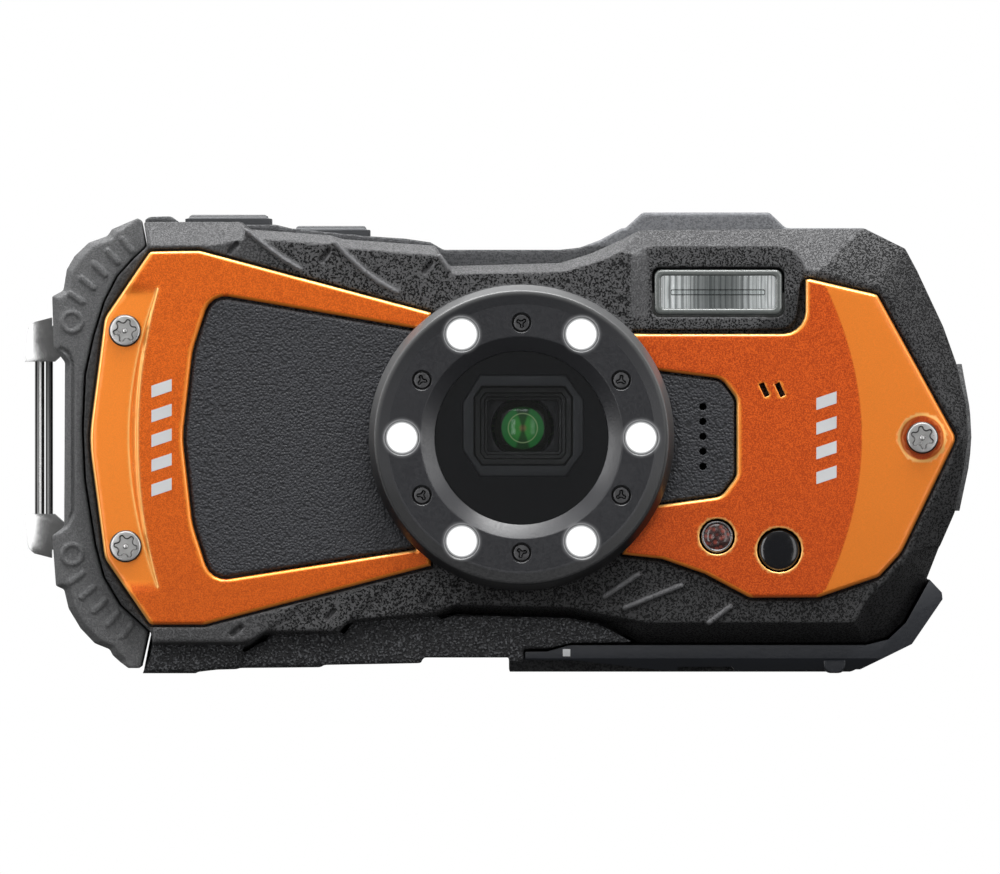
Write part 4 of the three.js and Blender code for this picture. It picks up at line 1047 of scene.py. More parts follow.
def front_shell():
    """The front shell with its scales, three slanted ridges and six short grooves."""
    scales = [scale(*row) for row in TOP_SCALES + BOTTOM_SCALES]
    bars = [[(14.2, 10.3), (18.6, 13.2)], [(16.9, 8.8), (24.4, 11.8)], [(28.1, 6.8), (31.0, 9.0)]]
    ridges = [rib(*bar, FACE, 0.45, 0.42) for bar in bars]
    creases = []
    for height, _, crease, _ in TOP_SCALES:
        line = [(x - SCALE_BEVEL / 2, z) for x, z in crease[:-1]]
        creases.append(line)
        ridges += [rib(a, b, FACE - height, 0.3) for a, b in zip(line, line[1:])]
    marks = [
        ((-36.0, 56.2), (-34.9, 57.5), -0.15), ((-23.7, 55.2), (-22.7, 56.5), 0.1),
        ((-10.0, 53.6), (-9.0, 54.9), 0.35), ((-35.6, 5.2), (-34.4, 6.2), -0.15),
        ((-22.9, 7.4), (-22.0, 8.4), 0.1), ((-9.9, 9.4), (-9.2, 10.5), 0.35),
    ]
    grooves = [prism(capsule(a, b, 0.32), FACE + depth, IN_FRONT) for a, b, depth in marks]
    shell = moulded("shell_front", "front_shell", scales + ridges, PLATE_POCKETS + [RING_POCKET], grooves)
    # the bars and creases are stored for the finish's painted highlight
    marked(shell, bars + creases, 0.28)
    return finished(shell, SHELL, "shell_black", replaces=["front_shell"])


def rear_shell():
    """The rear shell; its lip shows below the front shell and has scales of its own."""
    lip = -8.0
    scales = [
        loft((lip + 0.6, outline), (lip - height * 0.3, outline), (lip - height, grow(outline, -0.3)))
        for height, outline in LIP_SCALES
    ]
    shell = moulded("shell_rear", "rear_shell", scales, [PLATE_POCKETS[0]], voxel=VOXEL * 1.15)
    return finished(shell, REAR, "shell_black", replaces=["rear_shell"])


def left_guard():
    """The guard at the grip side, with a raised ring and a fan of raised ridges above and below."""
    low = span("left_guard")[0].y
    fan_x, fan_z, inner, outer = -30.0, 31.5, 31.4, 33.4
    ring = [(1.0, low + 0.7), (1.1, low - 0.2), (1.5, low - 0.2), (1.7, low + 0.7)]
    marks = [lathe(ring, -57.0, z, 32) for z in (47.0, 15.9)]
    for step in (-14, -7, 0, 7, 14):
        for turn in (136, 224):
            angle = math.radians(turn + step * 0.62)
            a, b = [
                (fan_x + reach * math.cos(angle), fan_z + reach * math.sin(angle)) for reach in (inner, outer)
            ]
            marks.append(loft((low + 0.7, capsule(a, b, 0.42)), (low - 0.22, capsule(a, b, 0.30))))
    track = [(-58.6, 43.4), (-57.5, 42.9), (-56.9, 41.4), (-56.9, 21.6), (-57.5, 20.1), (-58.6, 19.6)]
    grooves = [prism(capsule(a, b, 0.22), low + 0.45, IN_FRONT) for a, b in zip(track, track[1:])]
    guard = moulded("guard_left", "left_guard", marks, grooves=grooves, voxel=VOXEL * 0.8)
    return finished(guard, GUARD, "guard_black", replaces=["left_guard"])


def refined(name, node, width, material, slot, body="root", segments=3):
    """A CAD node's own shape with its edges rounded."""
    thing = bevelled(copied(name, node), width, segments)
    return finished(thing, material, slot, body, [node])


# ---------------------------------------------------------------- front plates

ORANGE, LEATHER = (PAINT, "orange_paint"), (GRIP, "grip_black")


def plate(name, node, outlines, radii, height, look, lines=()):
    """A front plate from a relief; look is its material and a slot name, which is not used."""
    thing = shaded(made(name, relief(outlines, radii, height, PLATE_BACK, lines=lines)), 40)
    return finished(thing, *look, replaces=[node])


def front_plate_left():
    """The plate at the grip side: a curved groove that narrows to its ends, and a band sloping outwards."""
    groove_x, groove_turn, groove_reach = -48.8, 3.25, 19.9
    groove_half, groove_floor, groove_depth = 0.62, 0.42, 0.42
    band_drop, band_slope, band_ramp = 0.10, 0.06, 1.5

    def crease(z):
        return groove_x + groove_turn * ((z - RING_Z) / groove_reach) ** 2

    def half_width(z):
        return groove_half * (1 - 0.92 * np.clip(np.abs(z - RING_Z) / groove_reach, 0, 1) ** 1.5)

    def height(x, z):
        offset = x - crease(z)
        within = np.clip((groove_reach - np.abs(z - RING_Z)) / band_ramp + 0.5, 0, 1)
        wall = np.clip((1 - np.abs(offset) / half_width(z)) / (1 - groove_floor), 0, 1)
        groove = (3 * wall**2 - 2 * wall**3) * groove_depth * half_width(z) / groove_half
        band = np.where(offset < 0, band_drop - band_slope * offset, 0)
        return PLATE_FRONT + (groove + band) * within

    track = [RING_Z + groove_reach * k / 12 for k in range(-12, 13)]
    shares = (-1, -0.8, -0.6, -groove_floor, groove_floor, 0.6, 0.8, 1)
    lines = [[(crease(z) + share * half_width(z), z) for z in track] for share in shares]
    lips = [[(crease(z) + side * half_width(z), z) for z in track] for side in (-1, 1)]
    lines += [[(crease(z) + side * (half_width(z) + 0.16), z) for z in track] for side in (-1, 1)]
    for end in (RING_Z - groove_reach, RING_Z + groove_reach):
        for z in (end - band_ramp / 2, end + band_ramp / 2):
            lines.append([(-56.0, z), (crease(end), z)])
    radii = [0.5] + [0.14] * (len(LEFT_PLATE) - 1)
    thing = plate("plate_left", "front_plate_left", LEFT_PLATE, radii, height, ORANGE, lines)
    # the groove's lips are stored for the paint's painted highlight
    return marked(thing, lips, 0.13)


def front_plate_right():
    """The plate at the flash side: it slopes back beyond a curved crease, with a dish for its screw."""
    crease_x, crease_turn, crease_reach, slope = 48.5, 5.2, 21.0, 0.075
    screw = middle("plate_screw_3")
    recess, recess_depth, recess_ramp = 3.1, 0.6, 0.3

    def crease(z):
        return crease_x - crease_turn * ((z - RING_Z) / crease_reach) ** 2

    def height(x, z):
        offset = np.maximum(x - crease(z), 0)
        reach = np.hypot(x - screw.x, z - screw.z)
        dish = np.clip((recess - reach) / recess_ramp, 0, 1)
        return PLATE_FRONT + slope * offset * (1 - dish) + dish * recess_depth

    track = [RING_Z + crease_reach * k / 12 for k in range(-12, 13)]
    lines = [[(crease(z) + side, z) for z in track] for side in (0, 0.2)]
    for reach in (recess, recess - recess_ramp):
        lines.append([*circle(screw.x, screw.z, reach), (screw.x + reach, screw.z)])
    radii = [0.5] + [0.14] * (len(RIGHT_PLATE) - 1)
    thing = plate("plate_right", "front_plate_right", RIGHT_PLATE, radii, height, ORANGE, lines)
    # the rims of the dish and the two holes are stored for the paint's painted highlight
    rims = [circle(screw.x, screw.z, recess)]
    for node in ("self_timer_lens", "receiver_window"):
        centre, (low, high) = middle(node), span(node)
        rims.append(circle(centre.x, centre.z, (high.x - low.x) / 2 + GAP))
    return marked(thing, [[*rim, rim[0]] for rim in rims], 0.14)


def grip_inlay():
    """The inlay, a little lower along its left side."""
    front, step_x, step_width, step_depth = span("grip_inlay")[0].y, -36.4, 1.4, 0.1

    def height(x, z):
        return front + step_depth * np.clip((step_x - x) / step_width, 0, 1) + 0 * z

    outlines = section("grip_inlay", PLATE_BACK - 0.2)
    return plate("inlay", "grip_inlay", outlines, [0.5], height, LEATHER)


def speaker_panel():
    front = span("speaker_panel")[0].y
    outlines = section("speaker_panel", PLATE_BACK - 0.2)
    radii = [0.35] + [0.1] * (len(outlines) - 1)
    return plate("panel", "speaker_panel", outlines, radii, lambda x, z: front + 0 * x, LEATHER)


def screw_solid(radius, head, shank, length, recess, depth, rim=0.25):
    """A screw along +Y from its head's front face at y = 0, and the recess to cut from it."""
    edge = [(radius - rim + rim * math.sin(t), rim - rim * math.cos(t)) for t in quarter(5)]
    profile = [(0, 0), *edge, (radius, head), (shank, head), (shank, length), (0, length)]
    tool = loft((depth, grow(recess, -0.17)), (0.0, recess), (-0.2, grow(recess, 0.06)))
    return lathe(profile, 0, 0, 64), tool


def lobes(count, outer, inner, turn=10.0, steps=96):
    """A recess whose radius swings between outer and inner, with wide lobes."""
    outline = []
    for k in range(steps):
        angle = 2 * math.pi * k / steps
        wave = math.cos(count * angle)
        radius = (outer + inner) / 2 + (outer - inner) / 2 * math.copysign(abs(wave) ** 0.55, wave)
        turned = angle + math.radians(turn)
        outline.append((radius * math.cos(turned), radius * math.sin(turned)))
    return outline


def fastened(name, node, solid_and_tool, material, slot, dot=0.0, turn=0.0):
    """A screw in a node's place, with a dot of that radius in its recess."""
    low, centre = span(node)[0], middle(node)
    solid, tool = solid_and_tool
    matrix = Matrix.Translation((centre.x, low.y, centre.z)) @ Matrix.Rotation(math.radians(turn), 4, "Y")
    thing = carved(made(name, placed(solid, matrix)), [placed(tool, matrix)])
    if dot:
        depth = max(p[1] for p in tool[0])
        bump = [(0, depth - 0.2), (dot * 0.7, depth - 0.12), (dot, depth + 0.1), (0, depth + 0.1)]
        carved(thing, [placed(lathe(bump, 0, 0, 32), matrix)], "UNION")
    return finished(shaded(thing), material, slot, replaces=[node])


def screws():
    for number, turn in ((1, 0), (2, 17), (3, 31)):
        head = screw_solid(2.15, 0.95, 1.0, 5.2, lobes(6, 1.62, 1.12), 0.5, 0.32)
        fastened(f"big_screw_{number}", f"plate_screw_{number}", head, SCREW, "screw_steel", 0.42, turn)
    for number in range(1, 7):
        head = screw_solid(1.1, 0.5, 0.6, 4.4, lobes(3, 0.74, 0.34), 0.36, 0.12)
        names = f"small_screw_{number}", f"ring_screw_{number}"
        fastened(*names, head, DARK_SCREW, "dark_screw", turn=47 * number)


# ---------------------------------------------------------------- lens ring and lights


def ring_cover():
    """The ring: a cone down to the window, a flat for lamps and screws, and a crest round the outside."""
    crest, dish = RING_RADIUS - 0.9, RING_RADIUS - 2.6
    flat = RING_FRONT + 0.2
    lamp_hole, screw_well = 2.3, 1.32
    window, cone, inner_wall, outer_wall, wall = 11.6, 13.5, 12.9, 19.0, 0.6
    back, roof, seat, foot = -11.6, -12.9, -13.0, FACE - GAP
    profile = rounded([
        (window, seat, 0), (window, seat - 0.4, 0.12), (cone, flat, 0.5), (dish, flat, 0.4),
        (crest - 0.25, RING_FRONT, 0.3), (crest + 0.1, RING_FRONT, 0.3), (RING_RADIUS, back - 1.6, 0.5),
        (RING_RADIUS, back, 0.15), (outer_wall, back, 0), (outer_wall, foot, 0),
        (outer_wall - wall, foot, 0), (outer_wall - wall, roof, 0), (inner_wall + wall, roof, 0),
        (inner_wall + wall, foot, 0), (inner_wall, foot, 0), (inner_wall, seat, 0),
    ], 5)
    thing = made("lens_ring", lathe(profile, RING_X, RING_Z))
    lights = [
        loft((-12.0, circle(x, z, lamp_hole)), (flat + 0.15, circle(x, z, lamp_hole)),
             (flat - 0.2, circle(x, z, lamp_hole + 0.32)))
        for x, z in ring_spots(LIGHT_CIRCLE)
    ]
    wells = [
        loft((-13.4, circle(x, z, screw_well, 32)), (flat + 0.08, circle(x, z, screw_well, 32)),
             (flat - 0.2, circle(x, z, screw_well + 0.28, 32)))
        for x, z in ring_spots(SCREW_CIRCLE, 30)
    ]
    holes = [prism(circle(x, z, 0.9, 24), -12.0, -16) for x, z in ring_spots(SCREW_CIRCLE, 30)]
    carved(thing, lights + wells + holes)
    return finished(shaded(thing, 30), RING, "ring_black", replaces=["ring_cover"])


def light_guide():
    """The clear guide: a band behind the ring, with a dome in each lamp hole."""
    radius, edge, rise, root = 2.24, -14.16, 0.26, -12.4
    crown = [(radius * math.sin(t), edge - rise * math.cos(t)) for t in quarter(10)]
    domes = [lathe([*crown, (radius, root), (0, root)], x, z, 64) for x, z in ring_spots(LIGHT_CIRCLE)]
    inner, outer, front, back = 13.8, 18.1, -12.6, -11.9
    band = lathe([(inner, back), (inner, front), (outer, front), (outer, back)], RING_X, RING_Z)
    holes = [prism(circle(x, z, 0.95, 24), -10, -16) for x, z in ring_spots(SCREW_CIRCLE, 30)]
    thing = carved(made("light_guide", band), holes)
    carved(thing, domes, "UNION")
    return finished(shaded(thing), LIGHT, "lamp_white", replaces=["light_guide_ring"])


def lens_window():
    low, high = span("lens_window")
    radius = (high.x - low.x) / 2
    profile = rounded([(0, low.y, 0), (radius, low.y, 0.3), (radius, high.y, 0.3), (0, high.y, 0)], 4)
    thing = shaded(made("window", lathe(profile, RING_X, RING_Z)))
    return finished(thing, PANE, "dark_glass", replaces=["lens_window"])


def lens_mask():
    """The frame behind the window, its steps down to the lens, and the black print round it."""
    low, high = span("lens_mask")
    opening = [(-3.4, 30.4), (-3.4, 35.8), (-1.7, 38.5), (8.3, 38.5),
               (10.0, 36.0), (10.0, 30.2), (8.3, 27.7), (-1.7, 27.7)]
    window_back = span("lens_window")[1].y
    print_disc = prism(circle(RING_X, RING_Z, 12.2, 96), window_back + 0.12, window_back + 0.04)
    clear_area = prism(grow(opening, 1.45), window_back + 1, window_back - 1)
    finished(shaded(carved(made("window_print", print_disc), [clear_area])), DARK, "inner_black")
    outer = grow(opening, 1.6)
    frame_solid = loft((high.y, outer), (low.y + 0.3, outer), (low.y, grow(opening, 1.25)))
    inner = [(-3.4, 29.2), (-3.4, 37.0), (-2.3, 38.5), (8.9, 38.5),
             (10.0, 37.0), (10.0, 29.2), (8.9, 27.7), (-2.3, 27.7)]
    steps = [(low.y - 1, 0.0), (low.y + 0.45, -0.1), (low.y + 0.9, -0.3), (low.y + 0.9, -0.95),
             (low.y + 1.7, -1.05), (low.y + 1.7, -1.5), (low.y + 2.5, -1.55), (low.y + 2.5, -1.95),
             (high.y + 0.5, -2.05)]
    tool = loft(*[(depth, grow(inner, shift)) for depth, shift in reversed(steps)])
    thing = carved(made("mask", frame_solid), [tool])
    return finished(bevelled(thing, 0.08, 2), MASK, "inner_black", replaces=["lens_mask"])


def front_lens():
    low, high = span("front_lens")
    radius = (high.x - low.x) / 2
    steps = [k / 12 for k in range(13)]
    dome = [(3.4 * s, low.y + 0.8 * s * s) for s in steps]
    profile = [*dome, (radius, low.y + 1.0), (radius, high.y), (0, high.y)]
    thing = shaded(made("lens_front", lathe(profile, LENS_X, LENS_Z, 96)))
    return finished(thing, COATED, "lens_glass", replaces=["front_lens"])


# ---------------------------------------------------------------- flash and small fittings


def flash():
    """The flash window in its rim, the ribbed trough of the reflector, and the tube."""
    low, high = span("flash_window")
    rim = 0.85
    outline = rectangle(low.x, high.x, low.z, high.z, 1.0)
    opening = rectangle(low.x + rim, high.x - rim, low.z + rim, high.z - rim, 0.5)
    pane = relief([opening], [0.12], lambda x, z: low.y + 0.15 + 0 * x, high.y)
    finished(shaded(made("flash_pane", pane)), CLEAR, "clear_plastic", replaces=["flash_window"])
    border = relief([outline, opening], [0.4, 0.25], lambda x, z: low.y + 0 * x, high.y, 0.2)
    finished(shaded(made("flash_rim", border)), FLASH_RIM, "clear_plastic")

    low, high = span("flash_reflector")
    outer = rectangle(low.x, high.x, low.z, high.z, 0.4)
    centre_z, half = (low.z + high.z) / 2, (high.z - low.z) / 2 - 0.35

    def trough(x, z):
        across = np.clip(np.abs(z - centre_z) / half, 0, 1)
        ends = np.clip(np.minimum(x - low.x - 0.4, high.x - 0.4 - x) / 1.6, 0, 1)
        deep = 2.7 * (1 - across**2) * ends
        ribs = 0.22 * np.cos(2 * math.pi * x / 0.9) * np.clip(deep / 0.5, 0, 1)
        return low.y + deep + ribs

    shape = relief([outer], [0.1], trough, high.y, 0.14)
    finished(shaded(made("reflector", shape), 80), SILVER, "reflector", replaces=["flash_reflector"])
    tube = lathe(rounded([(0, 0, 0), (0.4, 0, 0.2), (0.4, 12.6, 0.2), (0, 12.6, 0)], 4), 0, 0, 32)
    matrix = Matrix.Translation((low.x + 1.85, low.y + 1.9, centre_z)) @ Matrix.Rotation(-math.pi / 2, 4, "Z")
    finished(shaded(made("flash_tube", placed(tube, matrix))), CLEAR, "clear_plastic")


def lamp_and_receiver():
    """The self-timer lamp in its metal rim, and the black window of the remote receiver."""
    low, high = span("self_timer_lens")
    x, z, radius = (low.x + high.x) / 2, (low.z + high.z) / 2, (high.x - low.x) / 2
    wall, sunk = 0.3, 0.1
    crown = [((radius - wall) * math.sin(t), low.y + 0.35 - 0.35 * math.cos(t)) for t in quarter(8)]
    thing = made("lamp_lens", lathe([*crown, (radius - wall, high.y - 1.0), (0, high.y - 1.0)], x, z, 64))
    finished(shaded(thing), LAMP, "clear_plastic", replaces=["self_timer_lens"])
    inner = radius - wall - 0.02
    rim = rounded([(inner, low.y + sunk, 0.1), (radius, low.y + sunk, 0.12), (radius, high.y, 0),
                   (inner, high.y, 0)], 3)
    finished(shaded(made("lamp_rim", lathe(rim, x, z, 64))), CHROME, "reflector")

    low, high = span("receiver_window")
    x, z, radius = (low.x + high.x) / 2, (low.z + high.z) / 2, (high.x - low.x) / 2
    crown = [(radius * math.sin(t), low.y + 0.3 - 0.3 * math.cos(t)) for t in quarter(8)]
    thing = made("receiver", lathe([*crown, (radius, high.y), (0, high.y)], x, z, 64))
    finished(shaded(thing), DARK, "dark_glass", replaces=["receiver_window"])


# ---------------------------------------------------------------- controls


def raised(name, outline, depth, body, proud=0.06):
    """A printed mark on a surface that faces +Y at that depth."""
    thing = made(name, prism(outline, depth + proud, depth - 0.1))
    return finished(thing, MARK, "reflector", body)


def back_controls():
    """The keys and the pad with their marks, each on the body that moves it."""
    bodies = frame["record"]["behaviour"]["bodies"]
    owner = {node: body for body, nodes in bodies.items() for node in nodes}
    for node in ("zoom_tele_button", "zoom_wide_button", "playback_button", "menu_button", "shortcut_button"):
        refined(node.replace("_button", "_key"), node, 0.3, BUTTON, "button_black", owner[node])
    refined("movie_key", "movie_button", 0.3, RED, "button_red", owner["movie_button"])
    for name, node, width in (("pad", "direction_pad", 0.15), ("ok_key", "ok_button", 0.2),
                              ("shutter_key", "shutter_button", 0.35), ("power_key", "power_button", 0.3)):
        refined(name, node, width, BUTTON, "button_black", owner[node])
    arrow = [(0, 0.45), (-0.55, -0.35), (0.55, -0.35)]
    marks = {
        "zoom_tele_button": [capsule((-1.1, 0), (1.1, 0), 0.16), capsule((0, -1.1), (0, 1.1), 0.16)],
        "zoom_wide_button": [capsule((-1.1, 0), (1.1, 0), 0.16)],
        "playback_button": [[(0.8, 0), (-0.6, 0.9), (-0.6, -0.9)]],
        "menu_button": [capsule((-1.0, k * 0.6), (1.0, k * 0.6), 0.12) for k in (-1, 0, 1)],
        "shortcut_button": [circle(0, 0, 0.5, 24)],
        "direction_pad": [placed_flat(arrow, 90 * k, 6.7) for k in range(4)],
    }
    for node, outlines in marks.items():
        centre, top = middle(node), span(node)[1].y
        for number, outline in enumerate(outlines):
            moved = [(centre.x + x, centre.z + z) for x, z in outline]
            raised(f"mark_{node}_{number + 1}", moved, top - 0.06, owner[node])


def placed_flat(outline, turn, reach):
    """An outline moved up by reach and then turned about the origin."""
    c, s = math.cos(math.radians(turn)), math.sin(math.radians(turn))
    return [(x * c - (z + reach) * s, x * s + (z + reach) * c) for x, z in outline]


def plate_marks():
    """Slanted bars printed on the two plates."""
    for side, x, count in (("left", -45.0, 5), ("right", 43.8, 4)):
        for number in range(count):
            z = RING_Z + (number - (count - 1) / 2) * 3.3
            bar = [(x - 1.35, z - 1.25), (x + 1.35, z - 0.35), (x + 1.35, z + 1.25), (x - 1.35, z + 0.35)]
            thing = made(f"plate_mark_{side}_{number + 1}", prism(bar, PLATE_FRONT + 0.2, PLATE_FRONT - 0.03))
            finished(thing, MARK, "lamp_white")


# ---------------------------------------------------------------- the rest


def battery_door():
    """The door with its sloping lower front edge and a foot, its lock lever and a pale hinge stop."""
    front, slope_top, slope_back = span("battery_door")[0].y, 2.0, 1.5
    wedge = [(front - 1, slope_top), (front, slope_top), (front + slope_back, 0.0),
             (front + slope_back, -1.0), (front - 1, -1.0)]
    door = carved(copied("door", "battery_door"), [lengthwise(wedge, 0.0, 70.0)])
    foot = rounded([(43.5, 1.75, 0.15), (46.4, 1.75, 0.15), (46.4, 0.02, 1.2), (43.5, 0.02, 1.2)])
    block = loft((front + 2.2, foot), (front + 0.15, foot), (front + 0.02, grow(foot, -0.15)))
    carved(door, [block], "UNION")
    finished(bevelled(door, 0.2), DOOR, "door_black", "battery_door", ["battery_door"])
    stop = made("hinge_stop", box(8.6, 9.6, front - 0.06, front + 0.2, 2.25, 3.25))
    finished(bevelled(stop, 0.05, 2), MARK, "door_black", "battery_door")
    refined("lock_key", "door_lock_lever", 0.3, BUTTON, "door_black", "lock_lever")


def tripod_socket():
    """The tripod bush with the turns of its thread."""
    low, high, centre = *span("tripod_socket"), middle("tripod_socket")
    wall, crest, root, pitch = 3.3, 2.75, 3.05, 1.27
    turns = int((high.z - low.z - 1.4) / pitch)
    inner = [(crest if k % 2 else root, low.z + 0.3 + k * pitch / 2) for k in range(2 * turns + 1)]
    profile = [*inner, (wall, inner[-1][1]), (wall, inner[0][1])]
    thread = upright(lathe(profile, centre.x, -centre.y, 64))
    thing = carved(copied("tripod_bush", "tripod_socket"), [thread], "UNION")
    return finished(bevelled(thing, 0.1, 2), STEEL, "polished_steel", replaces=["tripod_socket"])


def battery_and_bay():
    """The battery with its contacts, and the bay with the USB socket in its floor."""
    low = span("battery")[0]
    refined("cell", "battery", 0.9, WRAP, "cell_label", segments=4)
    for number in range(4):
        x = low.x + 6.0 + 4.2 * number
        pad = upright(prism(rectangle(x, x + 2.6, -4.4, -1.4, 0.3), low.z - 0.06, low.z + 0.1))
        finished(bevelled(made(f"contact_{number + 1}", pad), 0.04, 2), GOLD, "polished_steel")
    left, right, front, back = 40.4, 47.2, 6.95, 8.75
    mouth = span("battery_bay")[0].z

    def shaft(inset, radius, start, end):
        """A prism up into the bay, as wide as the socket less the inset on each side."""
        outline = rectangle(left + inset, right - inset, -back + inset, -front - inset, radius)
        return upright(prism(outline, mouth + start, mouth + end))

    pocket = shaft(-0.05, 0.8, -1, 4.6)
    finished(bevelled(carved(copied("bay", "battery_bay"), [pocket]), 0.1, 2), INNER, "inner_black",
             replaces=["battery_bay"])
    socket = carved(made("usb_socket", shaft(0, 0.75, 0.05, 4.4)), [shaft(0.25, 0.6, -1, 4.0)])
    finished(bevelled(socket, 0.06, 2), SHEET, "sheet_metal")
    middle_y = (front + back) / 2
    tongue = rectangle(left + 1.4, right - 1.4, -middle_y - 0.3, -middle_y + 0.3, 0.2)
    tongue = upright(prism(tongue, mouth + 0.7, mouth + 4.1))
    finished(bevelled(made("usb_tongue", tongue), 0.05, 2), INNER, "inner_black")


def zoom_motor():
    """The small motor beside the lens housing that drives the zoom group, with its lead screw."""
    housing = span("lens_housing")[0]
    x, y, low = housing.x - 4.0, 0.4, housing.z + 3.0
    can = rounded([(0, low, 0), (3.0, low, 0.4), (3.0, low + 8.0, 0.4), (1.2, low + 8.0, 0),
                   (1.2, low + 8.6, 0.2), (0, low + 8.6, 0)], 4)
    finished(bevelled(made("zoom_motor", upright(lathe(can, x, -y, 64))), 0.05, 2), SHEET, "sheet_metal")
    start, pitch, turns = low + 8.7, 0.8, 15
    thread = [(0.75 if k % 2 else 0.5, start + k * pitch / 2) for k in range(2 * turns + 1)]
    screw = upright(lathe([(0, start), *thread, (0, thread[-1][1])], x, -y, 32))
    finished(shaded(made("lead_screw", screw)), STEEL, "polished_steel")


def carried_over():
    """CAD nodes whose shape is right: they stay, with rounded edges and their own finishes."""
    looks = [
        (INNER, "inner_black", 0.12, ("lens_housing", "zoom_group", "focus_group", "speaker", "lcd_module")),
        (DOOR, "inner_black", 0.3, ("memory_card",)),
        (WRAP, "cell_label", 0.4, ("flash_capacitor",)),
        (CLEAR, "clear_plastic", 0.08, ("prism",)),
        (BOARD, "circuit_green", 0.08, ("led_board", "image_sensor_board", "main_board")),
        (SHEET, "sheet_metal", 0.06, ("chassis", "pad_gimbal")),
        (RUBBER, "seal_rubber", 0.15, ("shell_seal", "door_seal")),
        (BUTTON, "button_black", 0.12, ("battery_latch",)),
        (STEEL, "polished_steel", 0.1, ("door_hinge_pin",)),
    ]
    for material, slot, width, nodes in looks:
        for node in nodes:
            thing = frame["nodes"][node]
            thing.data.materials.clear()
            thing.data.materials.append(material)
            weld = thing.modifiers.new("weld", "WELD")
            weld.merge_threshold = 1e-6
            bevel = thing.modifiers.new("edges", "BEVEL")
            bevel.width, bevel.segments = width * MM, 2
            bevel.limit_method, bevel.angle_limit = "ANGLE", math.radians(35)


def build():
    front_shell()
    rear_shell()
    left_guard()
    refined("bumper_right", "right_bumper", 0.3, GUARD, "guard_black")
    bracket = refined("strap_bracket", "strap_loop", 0.35, STEEL, "polished_steel")
    # the bracket's outline at half depth is stored for its finish's painted dark reflection
    low, high = span("strap_loop")
    marked(bracket, [[*outline, outline[0]] for outline in section("strap_loop", (low.y + high.y) / 2)], 0.2)
    front_plate_left()
    front_plate_right()
    grip_inlay()
    speaker_panel()
    screws()
    ring_cover()
    light_guide()
    lens_window()
    lens_mask()
    front_lens()
    flash()
    lamp_and_receiver()
    back_controls()
    plate_marks()
    refined("screen_window", "lcd_window", 0.15, SCREEN, "dark_glass")
    battery_door()
    tripod_socket()
    battery_and_bay()
    zoom_motor()
    carried_over()


# ---------------------------------------------------------------- studio


def soft_box(name, place, target, width, height, power):
    light = bpy.data.lights.new(name, "AREA")
    light.shape, light.size, light.size_y, light.energy = "RECTANGLE", width, height, power
    thing = added(name, light)
    thing.location = place
    thing.rotation_euler = (Vector(target) - Vector(place)).to_track_quat("-Z", "Y").to_euler()
    thing.visible_camera = False


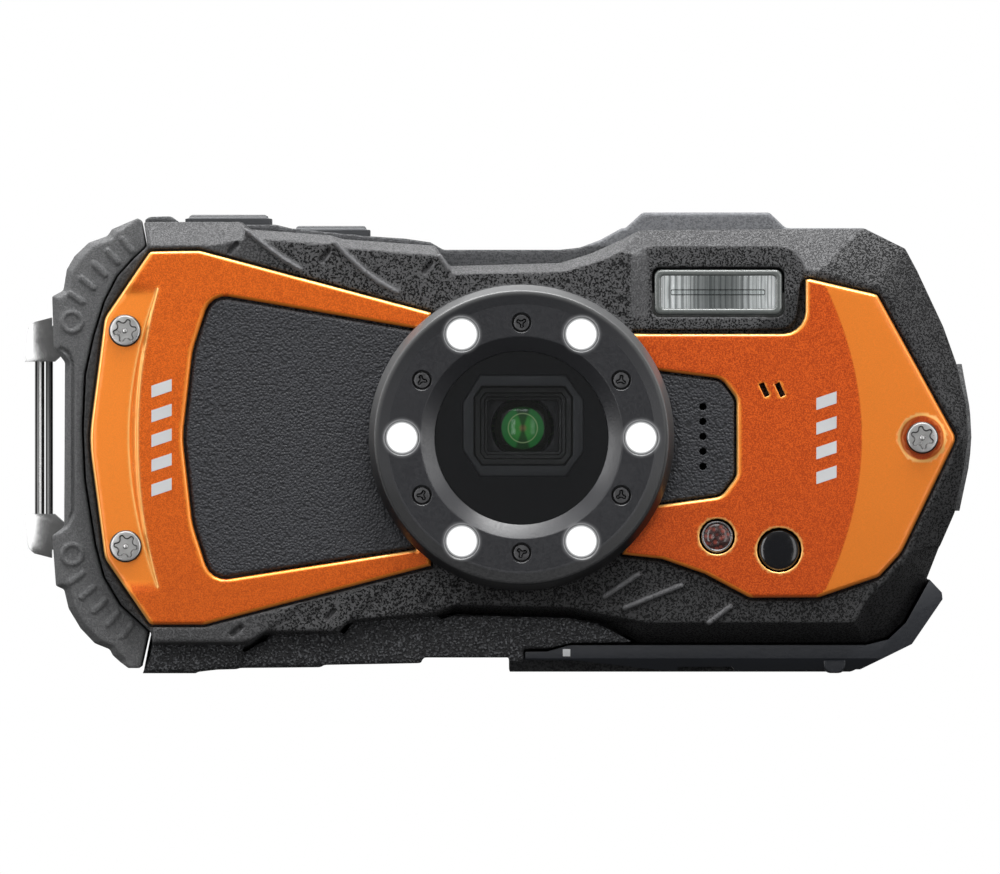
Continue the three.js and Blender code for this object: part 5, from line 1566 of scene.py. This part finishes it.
def studio():
    """The camera far ahead of the body as in the photograph, a pale floor, soft boxes and surroundings."""
    centre = Vector((0.2, FACE, 31.6)) * MM
    distance, width = 2.7, 133.6 * MM  # the picture's width at the body's face
    camera = bpy.data.cameras.new("camera")
    camera.sensor_width = 36
    camera.lens = 36 * distance / width
    viewer = added("camera", camera)
    viewer.location = centre - Vector((0, distance, 0))
    viewer.rotation_euler = (math.pi / 2, 0, 0)
    camera.clip_start, camera.clip_end = 0.05, 20
    bpy.context.scene.camera = viewer

    # the floor lies below the open battery door
    door_low, door_high = span("battery_door")
    half, low = 0.42, (door_low.x - door_high.x - 4) * MM
    corners = [(-half, -half, low), (half, -half, low), (half, half, low), (-half, half, low)]
    floor = bpy.data.meshes.new("floor")
    floor.from_pydata(corners, [], [(0, 1, 2, 3)])
    ground = added("floor", floor)
    pale = Finish("floor", (0.86, 0.86, 0.86), 0.8)
    pale.colour(pale.mixed(pale.noise(40.0), (0.85, 0.85, 0.85), (0.87, 0.87, 0.87)))
    floor.materials.append(pale.material)
    ground.visible_diffuse = ground.visible_glossy = False

    soft_box("key", (-0.05, -0.10, 0.75), (0, 0, 0.03), 1.0, 0.40, 15)
    soft_box("front high", (-0.15, -0.75, 0.75), (0, 0, 0.03), 0.7, 0.3, 2.6)
    soft_box("front left", (-0.31, -0.86, 0.07), (-0.045, 0, 0.03), 0.14, 0.5, 0.8)
    soft_box("front right", (0.33, -0.86, 0.07), (0.05, 0, 0.03), 0.14, 0.5, 0.45)
    soft_box("side left", (-0.75, -0.25, 0.2), (0, 0, 0.03), 0.3, 0.5, 2.0)
    soft_box("side right", (0.75, -0.45, 0.2), (0, 0, 0.03), 0.3, 0.5, 1.4)
    soft_box("back", (0.0, 0.9, 0.6), (0, 0, 0.03), 0.9, 0.5, 3)

    world = bpy.data.worlds.new("studio")
    world.use_nodes = True
    bpy.context.scene.world = world
    nodes, links = world.node_tree.nodes, world.node_tree.links

    def backdrop(strength):
        shade = nodes.new("ShaderNodeBackground")
        shade.inputs[0].default_value, shade.inputs[1].default_value = (1, 1, 1, 1), strength
        return shade.outputs[0]

    def chosen(share, first, second):
        both = nodes.new("ShaderNodeMixShader")
        for output, socket in zip((share, first, second), both.inputs):
            links.new(output, socket)
        return both.outputs[0]

    # mirrored surroundings: dark straight ahead and below, white well off to the sides
    place, ahead = nodes.new("ShaderNodeTexCoord"), nodes.new("ShaderNodeVectorMath")
    turn = nodes.new("ShaderNodeMapRange")
    ahead.operation, ahead.inputs[1].default_value = "DOT_PRODUCT", (0, -1, 0)
    links.new(place.outputs["Generated"], ahead.inputs[0])
    links.new(ahead.outputs["Value"], turn.inputs["Value"])
    for socket, angle in (("From Min", 48), ("From Max", 8)):
        turn.inputs[socket].default_value = math.cos(math.radians(angle))
    mirrored = chosen(turn.outputs["Result"], backdrop(0.75), backdrop(0.15))
    parts, below = nodes.new("ShaderNodeSeparateXYZ"), nodes.new("ShaderNodeMapRange")
    links.new(place.outputs["Generated"], parts.inputs[0])
    links.new(parts.outputs["Z"], below.inputs["Value"])
    below.inputs["From Min"].default_value, below.inputs["From Max"].default_value = -0.05, -0.35
    mirrored = chosen(below.outputs["Result"], mirrored, backdrop(0.12))
    path = nodes.new("ShaderNodeLightPath")
    lit = chosen(path.outputs["Is Glossy Ray"], backdrop(0.13), mirrored)
    seen = chosen(path.outputs["Is Camera Ray"], lit, backdrop(1.0))
    links.new(seen, nodes["World Output"].inputs["Surface"])
    bpy.context.scene.view_settings.view_transform = "Standard"


build()
studio()
